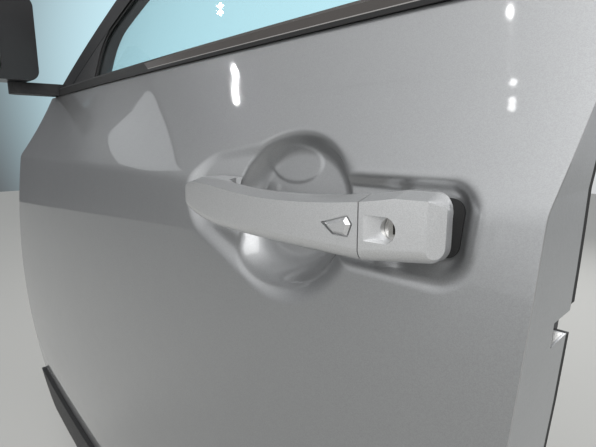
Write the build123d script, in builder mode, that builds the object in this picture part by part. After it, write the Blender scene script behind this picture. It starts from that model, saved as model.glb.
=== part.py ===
from build123d import *
import math
import os

os.makedirs("parts", exist_ok=True)

# Left front door of a sport utility vehicle, in millimetres. X runs towards the rear of the
# car, Y towards its inside and Z up. The origin is the middle of the upper hinge's mounting
# face, where the door's hinge leaf is bolted to the pillar.

# Body side: one section across the car, carried round a far vertical axis, which gives the
# door its slight curve seen from above.
PLAN_RADIUS = 13000.0
PLAN_X = 1015.0
PLAN_START = -4.8
PLAN_ARC = 5.6
SHOULDER_Z = 160.0
BELT_Z = 154.5
CREASE_Z = 34.0
SILL_Z = -540.0
SHOULDER_Y = -38.0
CREASE_Y = -108.0
BULGE_Y = -124.0
BULGE_Z = -180.0
LOW_Y = -112.0
LOW_Z = -410.0
TUCK_Y = -84.0
TUCK_DEPTH = 50.0
CREASE_RADIUS = 26.0
HOLLOW = 3.3
SKIN = 2.0
SEAT = 0.2

# Door outline seen from the side.
FRONT_AT_BELT = 60.0
FRONT_MOST = 11.0
FRONT_AT_SILL = 45.0
REAR_AT_BELT = 1105.0
REAR_AT_CREASE = 1091.5
REAR_MIDDLE = 1074.0
REAR_AT_SILL = 1030.0
SILL_CORNER = 32.0

# Glass and window frame.
GLASS_LOW_Y = -66.0
GLASS_LOW_Z = 20.0
GLASS_MID_Y = 31.0
GLASS_MID_Z = 340.0
GLASS_HIGH_Y = 158.5
GLASS_HIGH_Z = 640.0
GLASS = 4.0
FRAME_PROUD = 5.0
FRAME_DEPTH = 30.0
FRAME_WIDTH = 46.0
FRAME_ARCH_X = 430.0
FRAME_ARCH_Z = 345.0
FRAME_TOP_REAR_X = 1066.0
FRAME_TOP_REAR_Z = 562.0
FRAME_CORNER = 24.0
FRAME_FOOT_DEPTH = 160.0
GLASS_CORNER = 50.0
RUN_GAP = 0.25
RUN_LIP = 5.0
RUN_DEPTH = 14.0
GLASS_BOTTOM = 70.0
SAIL_REAR_X = 325.0
SAIL_DEPTH = 3.5

# Inner panel: a pressed pan whose flange lies against the skin.
PAN_INSET = 16.0
PAN = 1.6
PAN_INNER_Y = 24.0
PAN_TOP = BELT_Z - 2.0
HINGE_WALL_X = 56.0
FLANGE_INSET = 1.5
BELT_SLOT_FRONT = 165.0
GLASS_GRIP = 10.0

# Reach of the cutting tools beyond the door, and the furthest inboard that a window part lies.
FAR = 260.0
INBOARD = 220.0

AXIS = Axis((PLAN_X, PLAN_RADIUS, 0), (0, 0, 1))
SECTION = Plane(
    origin=(PLAN_X, PLAN_RADIUS, 0), x_dir=(0, 1, 0), z_dir=(1, 0, 0)
).rotated((0, 0, PLAN_START))


def across(y, z):
    """A section point, given as its place across and up, in the section plane's own terms."""
    return (y - PLAN_RADIUS, z)


def door_side(inset):
    """Everything inboard of the door's curved outer face, set in by inset."""
    crease = across(CREASE_Y, CREASE_Z)
    hollow_y = (SHOULDER_Y + CREASE_Y) / 2 + HOLLOW
    hollow_z = (SHOULDER_Z + CREASE_Z) / 2 - HOLLOW / 2
    with BuildPart(mode=Mode.PRIVATE) as side:
        with BuildSketch(SECTION) as profile:
            with BuildLine():
                top = across(SHOULDER_Y, SHOULDER_Z)
                ThreePointArc(top, across(hollow_y, hollow_z), crease)
                middle = across(BULGE_Y, BULGE_Z)
                flank = ThreePointArc(crease, middle, across(LOW_Y, LOW_Z))
                low = across(TUCK_Y, SILL_Z - TUCK_DEPTH)
                tuck = TangentArc(flank @ 1, low, tangent=flank % 1)
                inner_low = across(FAR, SILL_Z - TUCK_DEPTH)
                Polyline(tuck @ 1, inner_low, across(FAR, SHOULDER_Z), top)
            make_face()
            if inset:
                offset(amount=-inset, kind=Kind.INTERSECTION, mode=Mode.REPLACE)
            corner = profile.vertices().sort_by_distance((*crease, 0))[0]
            fillet(corner, radius=CREASE_RADIUS - inset)
        revolve(axis=AXIS, revolution_arc=PLAN_ARC)
    return side.part


def window_side(inset):
    """Everything inboard of the glass's outer face, set in by inset."""
    with BuildPart(mode=Mode.PRIVATE) as side:
        with BuildSketch(SECTION):
            with BuildLine():
                low = across(GLASS_LOW_Y, GLASS_LOW_Z)
                high = across(GLASS_HIGH_Y, GLASS_HIGH_Z)
                ThreePointArc(low, across(GLASS_MID_Y, GLASS_MID_Z), high)
                inner_high = across(FAR, GLASS_HIGH_Z)
                Polyline(high, inner_high, across(FAR, GLASS_LOW_Z), low)
            make_face()
            if inset:
                offset(amount=-inset, kind=Kind.INTERSECTION, mode=Mode.REPLACE)
        revolve(axis=AXIS, revolution_arc=PLAN_ARC)
    return side.part


def sheet(solid, back):
    """What lies between an outer region and the region further in."""
    with BuildPart(mode=Mode.PRIVATE) as piece:
        add(solid)
        add(back, mode=Mode.SUBTRACT)
    return piece.part


def skin_outline(inset, top=BELT_Z):
    """The door's outline up to the belt, or a higher top, seen from the side."""
    with BuildSketch(Plane.XY, mode=Mode.PRIVATE) as outline:
        with BuildLine():
            lean = (REAR_AT_BELT - REAR_AT_CREASE) / (BELT_Z - CREASE_Z)
            top_rear = (REAR_AT_BELT + lean * (top - BELT_Z), top)
            front_belt = (FRONT_AT_BELT, BELT_Z)
            if top > BELT_Z:
                Line(front_belt, (FRONT_AT_BELT, top))
            Line((FRONT_AT_BELT, top), top_rear)
            Line(top_rear, (REAR_AT_CREASE, CREASE_Z))
            ThreePointArc(
                (REAR_AT_CREASE, CREASE_Z),
                (REAR_MIDDLE, (CREASE_Z + SILL_Z) / 2),
                (REAR_AT_SILL, SILL_Z),
            )
            Line((REAR_AT_SILL, SILL_Z), (FRONT_AT_SILL, SILL_Z))
            ThreePointArc(
                (FRONT_AT_SILL, SILL_Z),
                (FRONT_MOST, (BELT_Z + SILL_Z) / 2),
                (FRONT_AT_BELT, BELT_Z),
            )
        make_face()
        fillet(outline.vertices().group_by(Axis.Y)[0], radius=SILL_CORNER)
        if inset:
            offset(amount=-inset, mode=Mode.REPLACE)
    return outline.sketch


def pan_outline(inset):
    """The inner panel's outline: the door's, set in, and cut off at the hinge wall."""
    with BuildSketch(Plane.XY, mode=Mode.PRIVATE) as outline:
        add(skin_outline(PAN_INSET + inset, top=PAN_TOP + PAN_INSET))
        with Locations((HINGE_WALL_X + inset, 0)):
            Rectangle(FAR, 4 * FAR, align=(Align.MAX, Align.CENTER), mode=Mode.SUBTRACT)
    return outline.sketch


def window_outline(inset):
    """The window frame's arched outline, carried on below the belt."""
    with BuildSketch(Plane.XY, mode=Mode.PRIVATE) as outline:
        with BuildLine():
            arch = ThreePointArc(
                (FRONT_AT_BELT, BELT_Z),
                (FRAME_ARCH_X, FRAME_ARCH_Z),
                (FRAME_TOP_REAR_X, FRAME_TOP_REAR_Z),
            )
            front_low = arch @ 0 - (arch % 0) * (FRAME_FOOT_DEPTH / (arch % 0).Y)
            rear_low = (REAR_AT_BELT, BELT_Z - FRAME_FOOT_DEPTH)
            Polyline(arch @ 1, (REAR_AT_BELT, BELT_Z), rear_low, front_low, arch @ 0)
        make_face()
        if inset:
            offset(amount=-inset, kind=Kind.INTERSECTION, mode=Mode.REPLACE)
        fillet(outline.vertices().group_by(Axis.Y)[-1], radius=FRAME_CORNER)
    return outline.sketch


def glass_outline(grow):
    """The clear opening behind the sail panel, grown outwards on every side."""
    with BuildSketch(Plane.XY, mode=Mode.PRIVATE) as outline:
        add(window_outline(FRAME_WIDTH + RUN_LIP - grow))
        with Locations((SAIL_REAR_X - grow, BELT_Z)):
            Rectangle(2 * FAR, 4 * FAR, align=(Align.MAX, Align.CENTER), mode=Mode.SUBTRACT)
        front_top = outline.vertices().group_by(Axis.X)[0].sort_by(Axis.Y)[-1]
        fillet(front_top, radius=GLASS_CORNER + grow)
    return outline.sketch


def prism(outline, outer_y, inner_y):
    """A side-view outline made solid between two places across the car."""
    with BuildPart(mode=Mode.PRIVATE) as solid:
        with BuildSketch(Plane.XZ.offset(-inner_y)):
            add(outline)
        extrude(amount=inner_y - outer_y)
    return solid.part


def block(x0, x1, y0, y1, z0, z1):
    """A box between two corners."""
    with BuildPart(mode=Mode.PRIVATE) as solid:
        with Locations(((x0 + x1) / 2, (y0 + y1) / 2, (z0 + z1) / 2)):
            Box(x1 - x0, y1 - y0, z1 - z0)
    return solid.part


# Handle: its own datum on the skin, from which X runs rearward and Y inwards.
HANDLE_X = 815.0
HANDLE_Y = -126.0
HANDLE_Z = 20.0


def beside_handle(y):
    """Side-view plane through the handle's datum, y further inboard, facing outwards."""
    return Plane(
        origin=(HANDLE_X, HANDLE_Y + y, HANDLE_Z), x_dir=(1, 0, 0), z_dir=(0, -1, 0)
    )


def above_handle(z):
    """Plan-view plane through the handle's datum, z higher."""
    return Plane(
        origin=(HANDLE_X, HANDLE_Y, HANDLE_Z + z), x_dir=(1, 0, 0), z_dir=(0, 0, 1)
    )


# Cup: a round bowl for the fingers, a seat that ramps down from the grip's foot and a pocket
# round the fixed cap, each with its rim rolled over into the skin.
RIM_R = 8.0
BOWL_X = 91.0
BOWL_Y = 46.0
BOWL_Z = -7.0
BOWL_LEAN = 0.199
BOWL_R = 40.0
BOWL_STRETCH = 10.0
BOWL_DRAFT = 26.0
BOWL_FLOOR_R = 6.0
RAMP_Y = 40.0
RAMP_LEAN = 0.32
RAMP_DRAFT = 45.0
RAMP_START_X = -45.0
RAMP_START_Y = 18.0
RAMP_DEPTH = 4.0
RAMP_TILT = 6.0
RAMP_NOSE_X = -8.0
RAMP_NOSE_Z = 10.0
RAMP_NOSE_R = 13.0
RAMP_REAR_X = 60.0
RAMP_REAR_Z = -0.5
RAMP_REAR_R = 38.0
POCKET_X = 187.0
POCKET_Y = 28.0
POCKET_Z = -3.5
POCKET_LEAN = 0.2
POCKET_LENGTH = 96.0
POCKET_HEIGHT = 44.0
POCKET_CORNER = 12.0
POCKET_DRAFT = 12.0
MOUTH = 60.0
TOUCH = 0.001
ALONG = (0.1, 0.5, 0.9)


def leaning(x, y, z, lean):
    """Side-view plane at a point from the handle's datum, tipped to face a little upwards."""
    return Plane(
        origin=(HANDLE_X + x, HANDLE_Y + y, HANDLE_Z + z), x_dir=(1, 0, 0), z_dir=(0, -1, lean)
    )


def mitre(draft):
    """How far a floor's outline grows when its floor and drafted walls both move back by one."""
    return math.tan(math.radians(45 - draft / 2))


def bowl_floor(grow):
    """The plane of the bowl's floor."""
    return leaning(BOWL_X, BOWL_Y + grow, BOWL_Z, BOWL_LEAN)


def bowl(grow):
    """The bowl's space: a long round floor with flared walls."""
    with BuildPart(mode=Mode.PRIVATE) as space:
        with BuildSketch(bowl_floor(grow)):
            with Locations((-BOWL_STRETCH, 0), (BOWL_STRETCH, 0)):
                Circle(BOWL_R + grow * mitre(BOWL_DRAFT))
            make_hull()
        extrude(amount=MOUTH, taper=-BOWL_DRAFT)
    return space.part


def ramp_floor(inset):
    """Everything inboard of the ramp's floor, which leaves the skin at the grip's nose."""
    hinge = Axis((HANDLE_X + RAMP_START_X, HANDLE_Y + RAMP_START_Y, 0), (0, 0, 1))
    return door_side(RAMP_DEPTH + inset).rotate(hinge, RAMP_TILT)


def ramp(grow):
    """The ramp's space: a tapered outline down to the tilted floor."""
    wall = grow / math.cos(math.radians(RAMP_DRAFT))
    with BuildPart(mode=Mode.PRIVATE) as space:
        with BuildSketch(leaning(0, RAMP_Y, 0, RAMP_LEAN)):
            with Locations((RAMP_NOSE_X, RAMP_NOSE_Z)):
                Circle(RAMP_NOSE_R + wall)
            with Locations((RAMP_REAR_X, RAMP_REAR_Z)):
                Circle(RAMP_REAR_R + wall)
            make_hull()
        extrude(amount=MOUTH, taper=-RAMP_DRAFT)
        add(ramp_floor(grow), mode=Mode.SUBTRACT)
    return space.part


def pocket(grow):
    """The space round the fixed cap: a flat floor with drafted walls."""
    edge = grow * mitre(POCKET_DRAFT)
    with BuildPart(mode=Mode.PRIVATE) as space:
        with BuildSketch(leaning(POCKET_X, POCKET_Y + grow, POCKET_Z, POCKET_LEAN)):
            RectangleRounded(
                POCKET_LENGTH + 2 * edge, POCKET_HEIGHT + 2 * edge, POCKET_CORNER + edge
            )
        extrude(amount=MOUTH, taper=-POCKET_DRAFT)
    return space.part


def on_faces(edge, faces):
    """Whether an edge runs along any of some faces."""
    return all(
        min(face.distance_to(edge @ place) for face in faces) < TOUCH for place in ALONG
    )


def on_plane(edge, plane):
    """Whether an edge lies in a plane."""
    return all(abs(plane.to_local_coords(edge @ place).Z) < TOUCH for place in ALONG)


def dished(inset):
    """Everything inboard of the skin with its cup, set in by inset."""
    side = door_side(inset)
    outer = side.faces()
    dish = side
    for space in (bowl(inset), ramp(inset), pocket(inset)):
        walls = space.faces()
        with BuildPart(mode=Mode.PRIVATE) as sunk:
            add(dish)
            add(space, mode=Mode.SUBTRACT)
            edges = sunk.edges()
            mouth = [edge for edge in edges if on_faces(edge, outer) and on_faces(edge, walls)]
            fillet(mouth, radius=RIM_R - inset)
        dish = sunk.part
    with BuildPart(mode=Mode.PRIVATE) as finished:
        add(dish)
        floor = bowl_floor(inset)
        fillet([e for e in finished.edges() if on_plane(e, floor)], radius=BOWL_FLOOR_R + inset)
    return finished.part


# Grip: it turns on a pin at its front, and its rear arm is curved about that pin.
PIVOT_X = -14.0
PIVOT_Y = 36.0
GRIP_END_X = 190.0
ARM = 9.0
ARM_HALF = 7.0
ARM_SETBACK = 8.0
ARM_ROOM = 7.5
ARM_OUTER_R = GRIP_END_X - ARM_SETBACK - PIVOT_X

# Holes in the cup for the grip's foot, its rear arm and the key cylinder.
FOOT_HOLE_X = 3.5
FOOT_HOLE_LENGTH = 29.0
FOOT_HOLE_HEIGHT = 15.0
ARM_HOLE_X = PIVOT_X + ARM_OUTER_R - ARM / 2
ARM_HOLE_LENGTH = ARM + 2 * ARM_ROOM
ARM_HOLE_HEIGHT = 2 * (ARM_HALF + 4)
KEY_X = 208.5
KEY_Z = 0.6
KEY_HOLE_R = 14.0


def cup_holes(places):
    """A cutting tool through the cup, with its holes at the named places."""
    with BuildPart(mode=Mode.PRIVATE) as tool:
        with BuildSketch(beside_handle(MOUTH)):
            if "foot" in places:
                with Locations((FOOT_HOLE_X, 0)):
                    Rectangle(FOOT_HOLE_LENGTH, FOOT_HOLE_HEIGHT)
            if "arm" in places:
                with Locations((ARM_HOLE_X, 0)):
                    Rectangle(ARM_HOLE_LENGTH, ARM_HOLE_HEIGHT)
            if "key" in places:
                with Locations((KEY_X, KEY_Z)):
                    Circle(KEY_HOLE_R)
        extrude(amount=2 * MOUTH)
    return tool.part


OFF_SKIN = dished(SKIN + SEAT)

with BuildPart() as outer_panel:
    add(prism(skin_outline(0), -FAR, PAN_INNER_Y - 4))
    add(dished(0), mode=Mode.INTERSECT)
    add(dished(SKIN), mode=Mode.SUBTRACT)
    add(cup_holes(("foot", "arm", "key")), mode=Mode.SUBTRACT)
outer_panel.part.label = "outer_panel"
export_step(outer_panel.part, "parts/outer_panel.step")

# Latch opening at the rear edge, and the bolts' line of the hinges.
LATCH_Z = -60.0
LATCH_SLOT = 18.0
LATCH_SLOT_Y = -10.0
LATCH_SLOT_X = 1040.0
BELT_SLOT_REAR = REAR_AT_BELT - FRAME_WIDTH - RUN_LIP + GLASS_GRIP + 6

FLANGE_BACK = door_side(SKIN + SEAT + PAN)

with BuildPart() as flange:
    add(prism(skin_outline(FLANGE_INSET), -FAR, PAN_INNER_Y - 4))
    add(OFF_SKIN, mode=Mode.INTERSECT)
    add(FLANGE_BACK, mode=Mode.SUBTRACT)
    add(prism(pan_outline(PAN), -2 * FAR, FAR), mode=Mode.SUBTRACT)

with BuildPart() as inner_panel:
    add(prism(pan_outline(0), -FAR, PAN_INNER_Y))
    add(prism(pan_outline(PAN), -2 * FAR, PAN_INNER_Y - PAN), mode=Mode.SUBTRACT)
    add(OFF_SKIN, mode=Mode.INTERSECT)
    add(flange.part)
    add(
        block(BELT_SLOT_FRONT, BELT_SLOT_REAR, -FAR, PAN_INNER_Y - PAN, BELT_Z - 30, FAR),
        mode=Mode.SUBTRACT,
    )
    add(
        block(
            LATCH_SLOT_X, REAR_AT_BELT, LATCH_SLOT_Y, FAR,
            LATCH_Z - LATCH_SLOT / 2, LATCH_Z + LATCH_SLOT / 2,
        ),
        mode=Mode.SUBTRACT,
    )
inner_panel.part.label = "inner_panel"
export_step(inner_panel.part, "parts/inner_panel.step")

# Window frame with the channel that the glass slides in.
CHANNEL_SIDE = 2.5
FRAME_FOOT = PAN_TOP + SEAT
ABOVE_FOOT = block(-FAR, 5 * FAR, -FAR, INBOARD, FRAME_FOOT, 3 * FAR)
CHANNEL = sheet(window_side(-CHANNEL_SIDE), window_side(GLASS + CHANNEL_SIDE))

with BuildPart() as channel_space:
    add(CHANNEL)
    add(prism(glass_outline(RUN_LIP + RUN_DEPTH), -FAR, INBOARD), mode=Mode.INTERSECT)

with BuildPart() as window_frame:
    add(sheet(window_side(-FRAME_PROUD), window_side(FRAME_DEPTH - FRAME_PROUD)))
    add(prism(window_outline(0), -FAR, INBOARD), mode=Mode.INTERSECT)
    add(prism(window_outline(FRAME_WIDTH), -FAR, INBOARD), mode=Mode.SUBTRACT)
    add(channel_space.part, mode=Mode.SUBTRACT)
    add(ABOVE_FOOT, mode=Mode.INTERSECT)
window_frame.part.label = "window_frame"
export_step(window_frame.part, "parts/window_frame.step")

SAIL_SINK = 0.5
SAIL_POST = 6.0

with BuildPart() as sail_post:
    add(sheet(window_side(SAIL_SINK - FRAME_PROUD), window_side(FRAME_DEPTH - FRAME_PROUD)))
    add(
        prism(glass_outline(RUN_LIP + RUN_DEPTH + SAIL_POST), -FAR, INBOARD),
        mode=Mode.INTERSECT,
    )

with BuildPart() as sail_panel:
    add(sheet(window_side(SAIL_SINK - FRAME_PROUD), window_side(SAIL_DEPTH - FRAME_PROUD)))
    add(sail_post.part)
    add(prism(window_outline(FRAME_WIDTH + SEAT), -FAR, INBOARD), mode=Mode.INTERSECT)
    add(prism(glass_outline(RUN_LIP), -FAR, INBOARD), mode=Mode.SUBTRACT)
    add(channel_space.part, mode=Mode.SUBTRACT)
    add(ABOVE_FOOT, mode=Mode.INTERSECT)
sail_panel.part.label = "sail_panel"
export_step(sail_panel.part, "parts/sail_panel.step")

with BuildPart() as pane_space:
    add(sheet(window_side(-RUN_GAP), window_side(GLASS + RUN_GAP)))
    add(prism(glass_outline(GLASS_GRIP + RUN_GAP), -FAR, INBOARD), mode=Mode.INTERSECT)

with BuildPart() as glass_run_seal:
    add(sheet(window_side(SEAT - CHANNEL_SIDE), window_side(GLASS + CHANNEL_SIDE - SEAT)))
    add(prism(glass_outline(RUN_LIP + RUN_DEPTH - SEAT), -FAR, INBOARD), mode=Mode.INTERSECT)
    add(prism(glass_outline(0), -FAR, INBOARD), mode=Mode.SUBTRACT)
    add(pane_space.part, mode=Mode.SUBTRACT)
    add(ABOVE_FOOT, mode=Mode.INTERSECT)
glass_run_seal.part.label = "glass_run_seal"
export_step(glass_run_seal.part, "parts/glass_run_seal.step")

with BuildPart() as door_glass:
    add(sheet(window_side(0), window_side(GLASS)))
    add(prism(glass_outline(GLASS_GRIP), -FAR, INBOARD), mode=Mode.INTERSECT)
    add(block(0, 5 * FAR, -FAR, INBOARD, GLASS_BOTTOM, 3 * FAR), mode=Mode.INTERSECT)
door_glass.part.label = "door_glass"
export_step(door_glass.part, "parts/door_glass.step")

# Belt: a satin strip on the skin's top edge, whose leg stands behind the skin and whose rubber
# lip wipes the glass.
MOULD_OUTER_Y = -43.5
MOULD_INNER_Y = -35.6
MOULD_EDGE = 0.5
MOULD_FOOT_Z = BELT_Z + 0.4
MOULD_TOP = BELT_Z + 15.5
MOULD_BEVEL = 3.5
MOULD_LEG_LOW = BELT_Z - 10.5
MOULD_LEG_THICKNESS = 1.8
MOULD_FRONT = 134.0
MOULD_REAR = REAR_AT_BELT - 2
LEG_END = 2.0
LIP_ROOT_Y = MOULD_INNER_Y - 0.5
LIP_REACH_Y = -27.5
LIP_DROP = 4.0
LIP = 2.0
OPENING_GAP = 1.0

with BuildPart() as belt_strip:
    with BuildSketch(SECTION):
        with BuildLine():
            Polyline(
                across(MOULD_OUTER_Y + MOULD_EDGE, MOULD_FOOT_Z),
                across(MOULD_OUTER_Y, MOULD_TOP - MOULD_BEVEL),
                across(MOULD_OUTER_Y + MOULD_BEVEL, MOULD_TOP),
                across(MOULD_INNER_Y, MOULD_TOP),
                across(MOULD_INNER_Y, MOULD_FOOT_Z),
                close=True,
            )
        make_face()
    revolve(axis=AXIS, revolution_arc=PLAN_ARC)
    add(block(MOULD_FRONT, MOULD_REAR, -FAR, FAR, 0, FAR), mode=Mode.INTERSECT)

with BuildPart() as belt_leg:
    with BuildSketch(SECTION):
        with Locations(across(MOULD_INNER_Y, MOULD_FOOT_Z + LEG_END)):
            Rectangle(
                MOULD_LEG_THICKNESS,
                MOULD_FOOT_Z + LEG_END - MOULD_LEG_LOW,
                align=(Align.MAX, Align.MAX),
            )
    revolve(axis=AXIS, revolution_arc=PLAN_ARC)
    add(
        block(BELT_SLOT_FRONT + LEG_END, BELT_SLOT_REAR - LEG_END, -FAR, FAR, 0, FAR),
        mode=Mode.INTERSECT,
    )

with BuildPart() as belt_lip:
    with BuildSketch(SECTION):
        with BuildLine():
            Polyline(
                across(LIP_ROOT_Y, MOULD_TOP),
                across(LIP_REACH_Y, MOULD_TOP - LIP_DROP),
                across(LIP_REACH_Y, MOULD_TOP - LIP_DROP - LIP),
                across(LIP_ROOT_Y, MOULD_TOP - 1.5 * LIP),
                close=True,
            )
        make_face()
    revolve(axis=AXIS, revolution_arc=PLAN_ARC)
    add(prism(glass_outline(-OPENING_GAP), -FAR, INBOARD), mode=Mode.INTERSECT)

with BuildPart() as outer_belt_moulding:
    add(belt_strip.part)
    add(belt_leg.part)
    add(belt_lip.part)
outer_belt_moulding.part.label = "outer_belt_moulding"
export_step(outer_belt_moulding.part, "parts/outer_belt_moulding.step")

# The inner seal wipes the glass's other face from the edge of the upper trim.
INNER_SEAL = 5.7
INNER_SEAL_TOP = BELT_Z + 20.0
WIPE_GAP = 0.3
SEAL_BACK = GLASS + WIPE_GAP + INNER_SEAL

with BuildPart() as inner_belt_seal:
    add(sheet(window_side(GLASS + WIPE_GAP), window_side(SEAL_BACK)))
    add(prism(glass_outline(-OPENING_GAP), -FAR, INBOARD), mode=Mode.INTERSECT)
    add(
        block(0, 5 * FAR, -FAR, INBOARD, PAN_TOP, INNER_SEAL_TOP),
        mode=Mode.INTERSECT,
    )
inner_belt_seal.part.label = "inner_belt_seal"
export_step(inner_belt_seal.part, "parts/inner_belt_seal.step")

# Lower cladding: a hollow plastic moulding along the sill, proud of the skin.
CLAD_TOP = -463.0
CLAD_PROUD = 8.0
CLAD_WALL = 3.0
CLAD_DROP = 22.0
CLAD_END = 1.5


def cladding_outline(inset):
    """The cladding's outline: the door's lower end, moved down a little."""
    with BuildSketch(Plane.XY, mode=Mode.PRIVATE) as outline:
        with Locations((0, -CLAD_DROP)):
            add(skin_outline(CLAD_END + inset))
        with Locations((0, CLAD_TOP - inset)):
            Rectangle(10 * FAR, 4 * FAR, align=(Align.CENTER, Align.MIN), mode=Mode.SUBTRACT)
    return outline.sketch


with BuildPart() as cladding_hollow:
    add(door_side(CLAD_WALL - CLAD_PROUD))
    add(prism(cladding_outline(CLAD_WALL), -FAR, 0), mode=Mode.INTERSECT)

with BuildPart() as lower_cladding:
    add(sheet(door_side(-CLAD_PROUD), door_side(-SEAT)))
    add(prism(cladding_outline(0), -FAR, 0), mode=Mode.INTERSECT)
    add(cladding_hollow.part, mode=Mode.SUBTRACT)
lower_cladding.part.label = "lower_cladding"
export_step(lower_cladding.part, "parts/lower_cladding.step")

# Hinges: a leaf on the pillar with two knuckles and the pin, and a leaf on the door's wall.
HINGE_X = 22.0
HINGE_Y = -45.0
LOWER_HINGE = -340.0
KNUCKLE_R = 10.0
PIN_R = 4.0
PIN_CLEARANCE = 0.1
LEAF = 6.0
LEAF_HEIGHT = 62.0
PILLAR_LEAF_FRONT = -24.0
PILLAR_LEAF_REAR = 32.0
BOLT_SPACING = 40.0
BOLT_R = 4.5
KNUCKLE_HALF = 9.0
KNUCKLE_GAP = 0.4
KNUCKLE_END = 24.0
DOOR_LEAF_OUTER_Y = -64.0
DOOR_LEAF_INNER_Y = -8.0
DOOR_BOLT_Y = -22.0

for place, height in (("upper", 0.0), ("lower", LOWER_HINGE)):
    with BuildPart() as pillar_leaf:
        add(
            block(
                PILLAR_LEAF_FRONT, PILLAR_LEAF_REAR, -LEAF, 0,
                height - LEAF_HEIGHT / 2, height + LEAF_HEIGHT / 2,
            )
        )
        fillet(pillar_leaf.edges().filter_by(Axis.Y), radius=9)
        with BuildSketch(Plane.XZ.offset(LEAF)):
            with Locations((0, height + BOLT_SPACING / 2), (0, height - BOLT_SPACING / 2)):
                Circle(BOLT_R)
        extrude(amount=-LEAF, mode=Mode.SUBTRACT)
        for side in (-1, 1):
            low = height + side * (KNUCKLE_HALF + KNUCKLE_GAP)
            with BuildSketch(Plane.XY.offset(low)):
                with Locations((HINGE_X, HINGE_Y)):
                    Circle(KNUCKLE_R)
                with Locations((HINGE_X, (HINGE_Y - LEAF) / 2)):
                    Rectangle(1.6 * KNUCKLE_R, -LEAF - HINGE_Y + 1)
            extrude(amount=side * (KNUCKLE_END - KNUCKLE_HALF))
        with BuildSketch(Plane.XY.offset(height - KNUCKLE_END - 4)):
            with Locations((HINGE_X, HINGE_Y)):
                Circle(PIN_R)
        extrude(amount=2 * KNUCKLE_END + 8)
    pillar_leaf.part.label = f"{place}_hinge_pillar_leaf"
    export_step(pillar_leaf.part, f"parts/{place}_hinge_pillar_leaf.step")

    with BuildPart() as door_leaf:
        wall = HINGE_WALL_X - SEAT
        add(
            block(
                wall - LEAF, wall, DOOR_LEAF_OUTER_Y, DOOR_LEAF_INNER_Y,
                height - LEAF_HEIGHT / 2, height + LEAF_HEIGHT / 2,
            )
        )
        fillet(door_leaf.edges().filter_by(Axis.X), radius=9)
        with BuildSketch(Plane.XY.offset(height - KNUCKLE_HALF)):
            with Locations((HINGE_X, HINGE_Y)):
                Circle(KNUCKLE_R)
            with Locations(((HINGE_X + wall - LEAF) / 2, HINGE_Y)):
                Rectangle(wall - LEAF - HINGE_X + 1, 1.4 * KNUCKLE_R)
        extrude(amount=2 * KNUCKLE_HALF)
        with BuildSketch(Plane.XY.offset(height - KNUCKLE_HALF)):
            with Locations((HINGE_X, HINGE_Y)):
                Circle(PIN_R + PIN_CLEARANCE)
        extrude(amount=2 * KNUCKLE_HALF, mode=Mode.SUBTRACT)
        with BuildSketch(Plane.YZ.offset(wall)):
            with Locations(
                (DOOR_BOLT_Y, height + BOLT_SPACING / 2), (DOOR_BOLT_Y, height - BOLT_SPACING / 2)
            ):
                Circle(BOLT_R)
        extrude(amount=-LEAF, mode=Mode.SUBTRACT)
    door_leaf.part.label = f"{place}_hinge_door_leaf"
    export_step(door_leaf.part, f"parts/{place}_hinge_door_leaf.step")

# Latch inside the rear wall, with the slot that takes the pillar's striker.
LATCH_FRONT_X = 985.0
LATCH_OUTER_Y = -28.0
LATCH_HALF = 42.0

with BuildPart() as latch:
    add(
        block(
            LATCH_FRONT_X, REAR_AT_BELT, LATCH_OUTER_Y, PAN_INNER_Y - PAN - SEAT,
            LATCH_Z - LATCH_HALF, LATCH_Z + LATCH_HALF,
        )
    )
    add(prism(pan_outline(PAN + SEAT), -FAR, INBOARD), mode=Mode.INTERSECT)
    add(
        block(
            LATCH_SLOT_X, REAR_AT_BELT, LATCH_SLOT_Y, FAR,
            LATCH_Z - LATCH_SLOT / 2, LATCH_Z + LATCH_SLOT / 2,
        ),
        mode=Mode.SUBTRACT,
    )
latch.part.label = "latch"
export_step(latch.part, "parts/latch.step")

# Handle: a sprung grip that pivots at its front, beside a fixed cap with the key cylinder. Both
# are cut from one form, so that their faces run on across the split.
FACE_MIDDLE_X = 117.0
FACE_BULGE = 10.0
FACE_END_X = 234.0
FACE_END_Y = -2.0
CAP_END_X = 241.0
CAP_END_Y = 6.0
TIP_X = -20.0
TIP_Y = 13.0
SWELL_X = 15.0
SWELL_Z = 17.0
WAIST_X = 66.0
WAIST_Z = 15.0
TOP_X = 214.0
TOP_Z = 21.5
UNDER_X = 60.0
UNDER_Z = -19.5
CAP_LOW_Z = -14.0
SPLIT = 0.8
BACK_Y = 4.0
FOOT_Y = 34.0
FOOT_END_X = 38.0
BACK_START_X = 62.0
EYE_R = 6.5
EYE_HALF = 6.0
HANDLE_PIN_R = 3.0
HANDLE_PIN_CLEARANCE = 0.06
ARM_END_Y = 68.0
CAP_CORNER = 9.5
TOP_BEVEL = 3.6
TOP_BEVEL_DEPTH = 11.5
UNDER_R = 8.0
HANDLE_HIGH = 120.0

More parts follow.
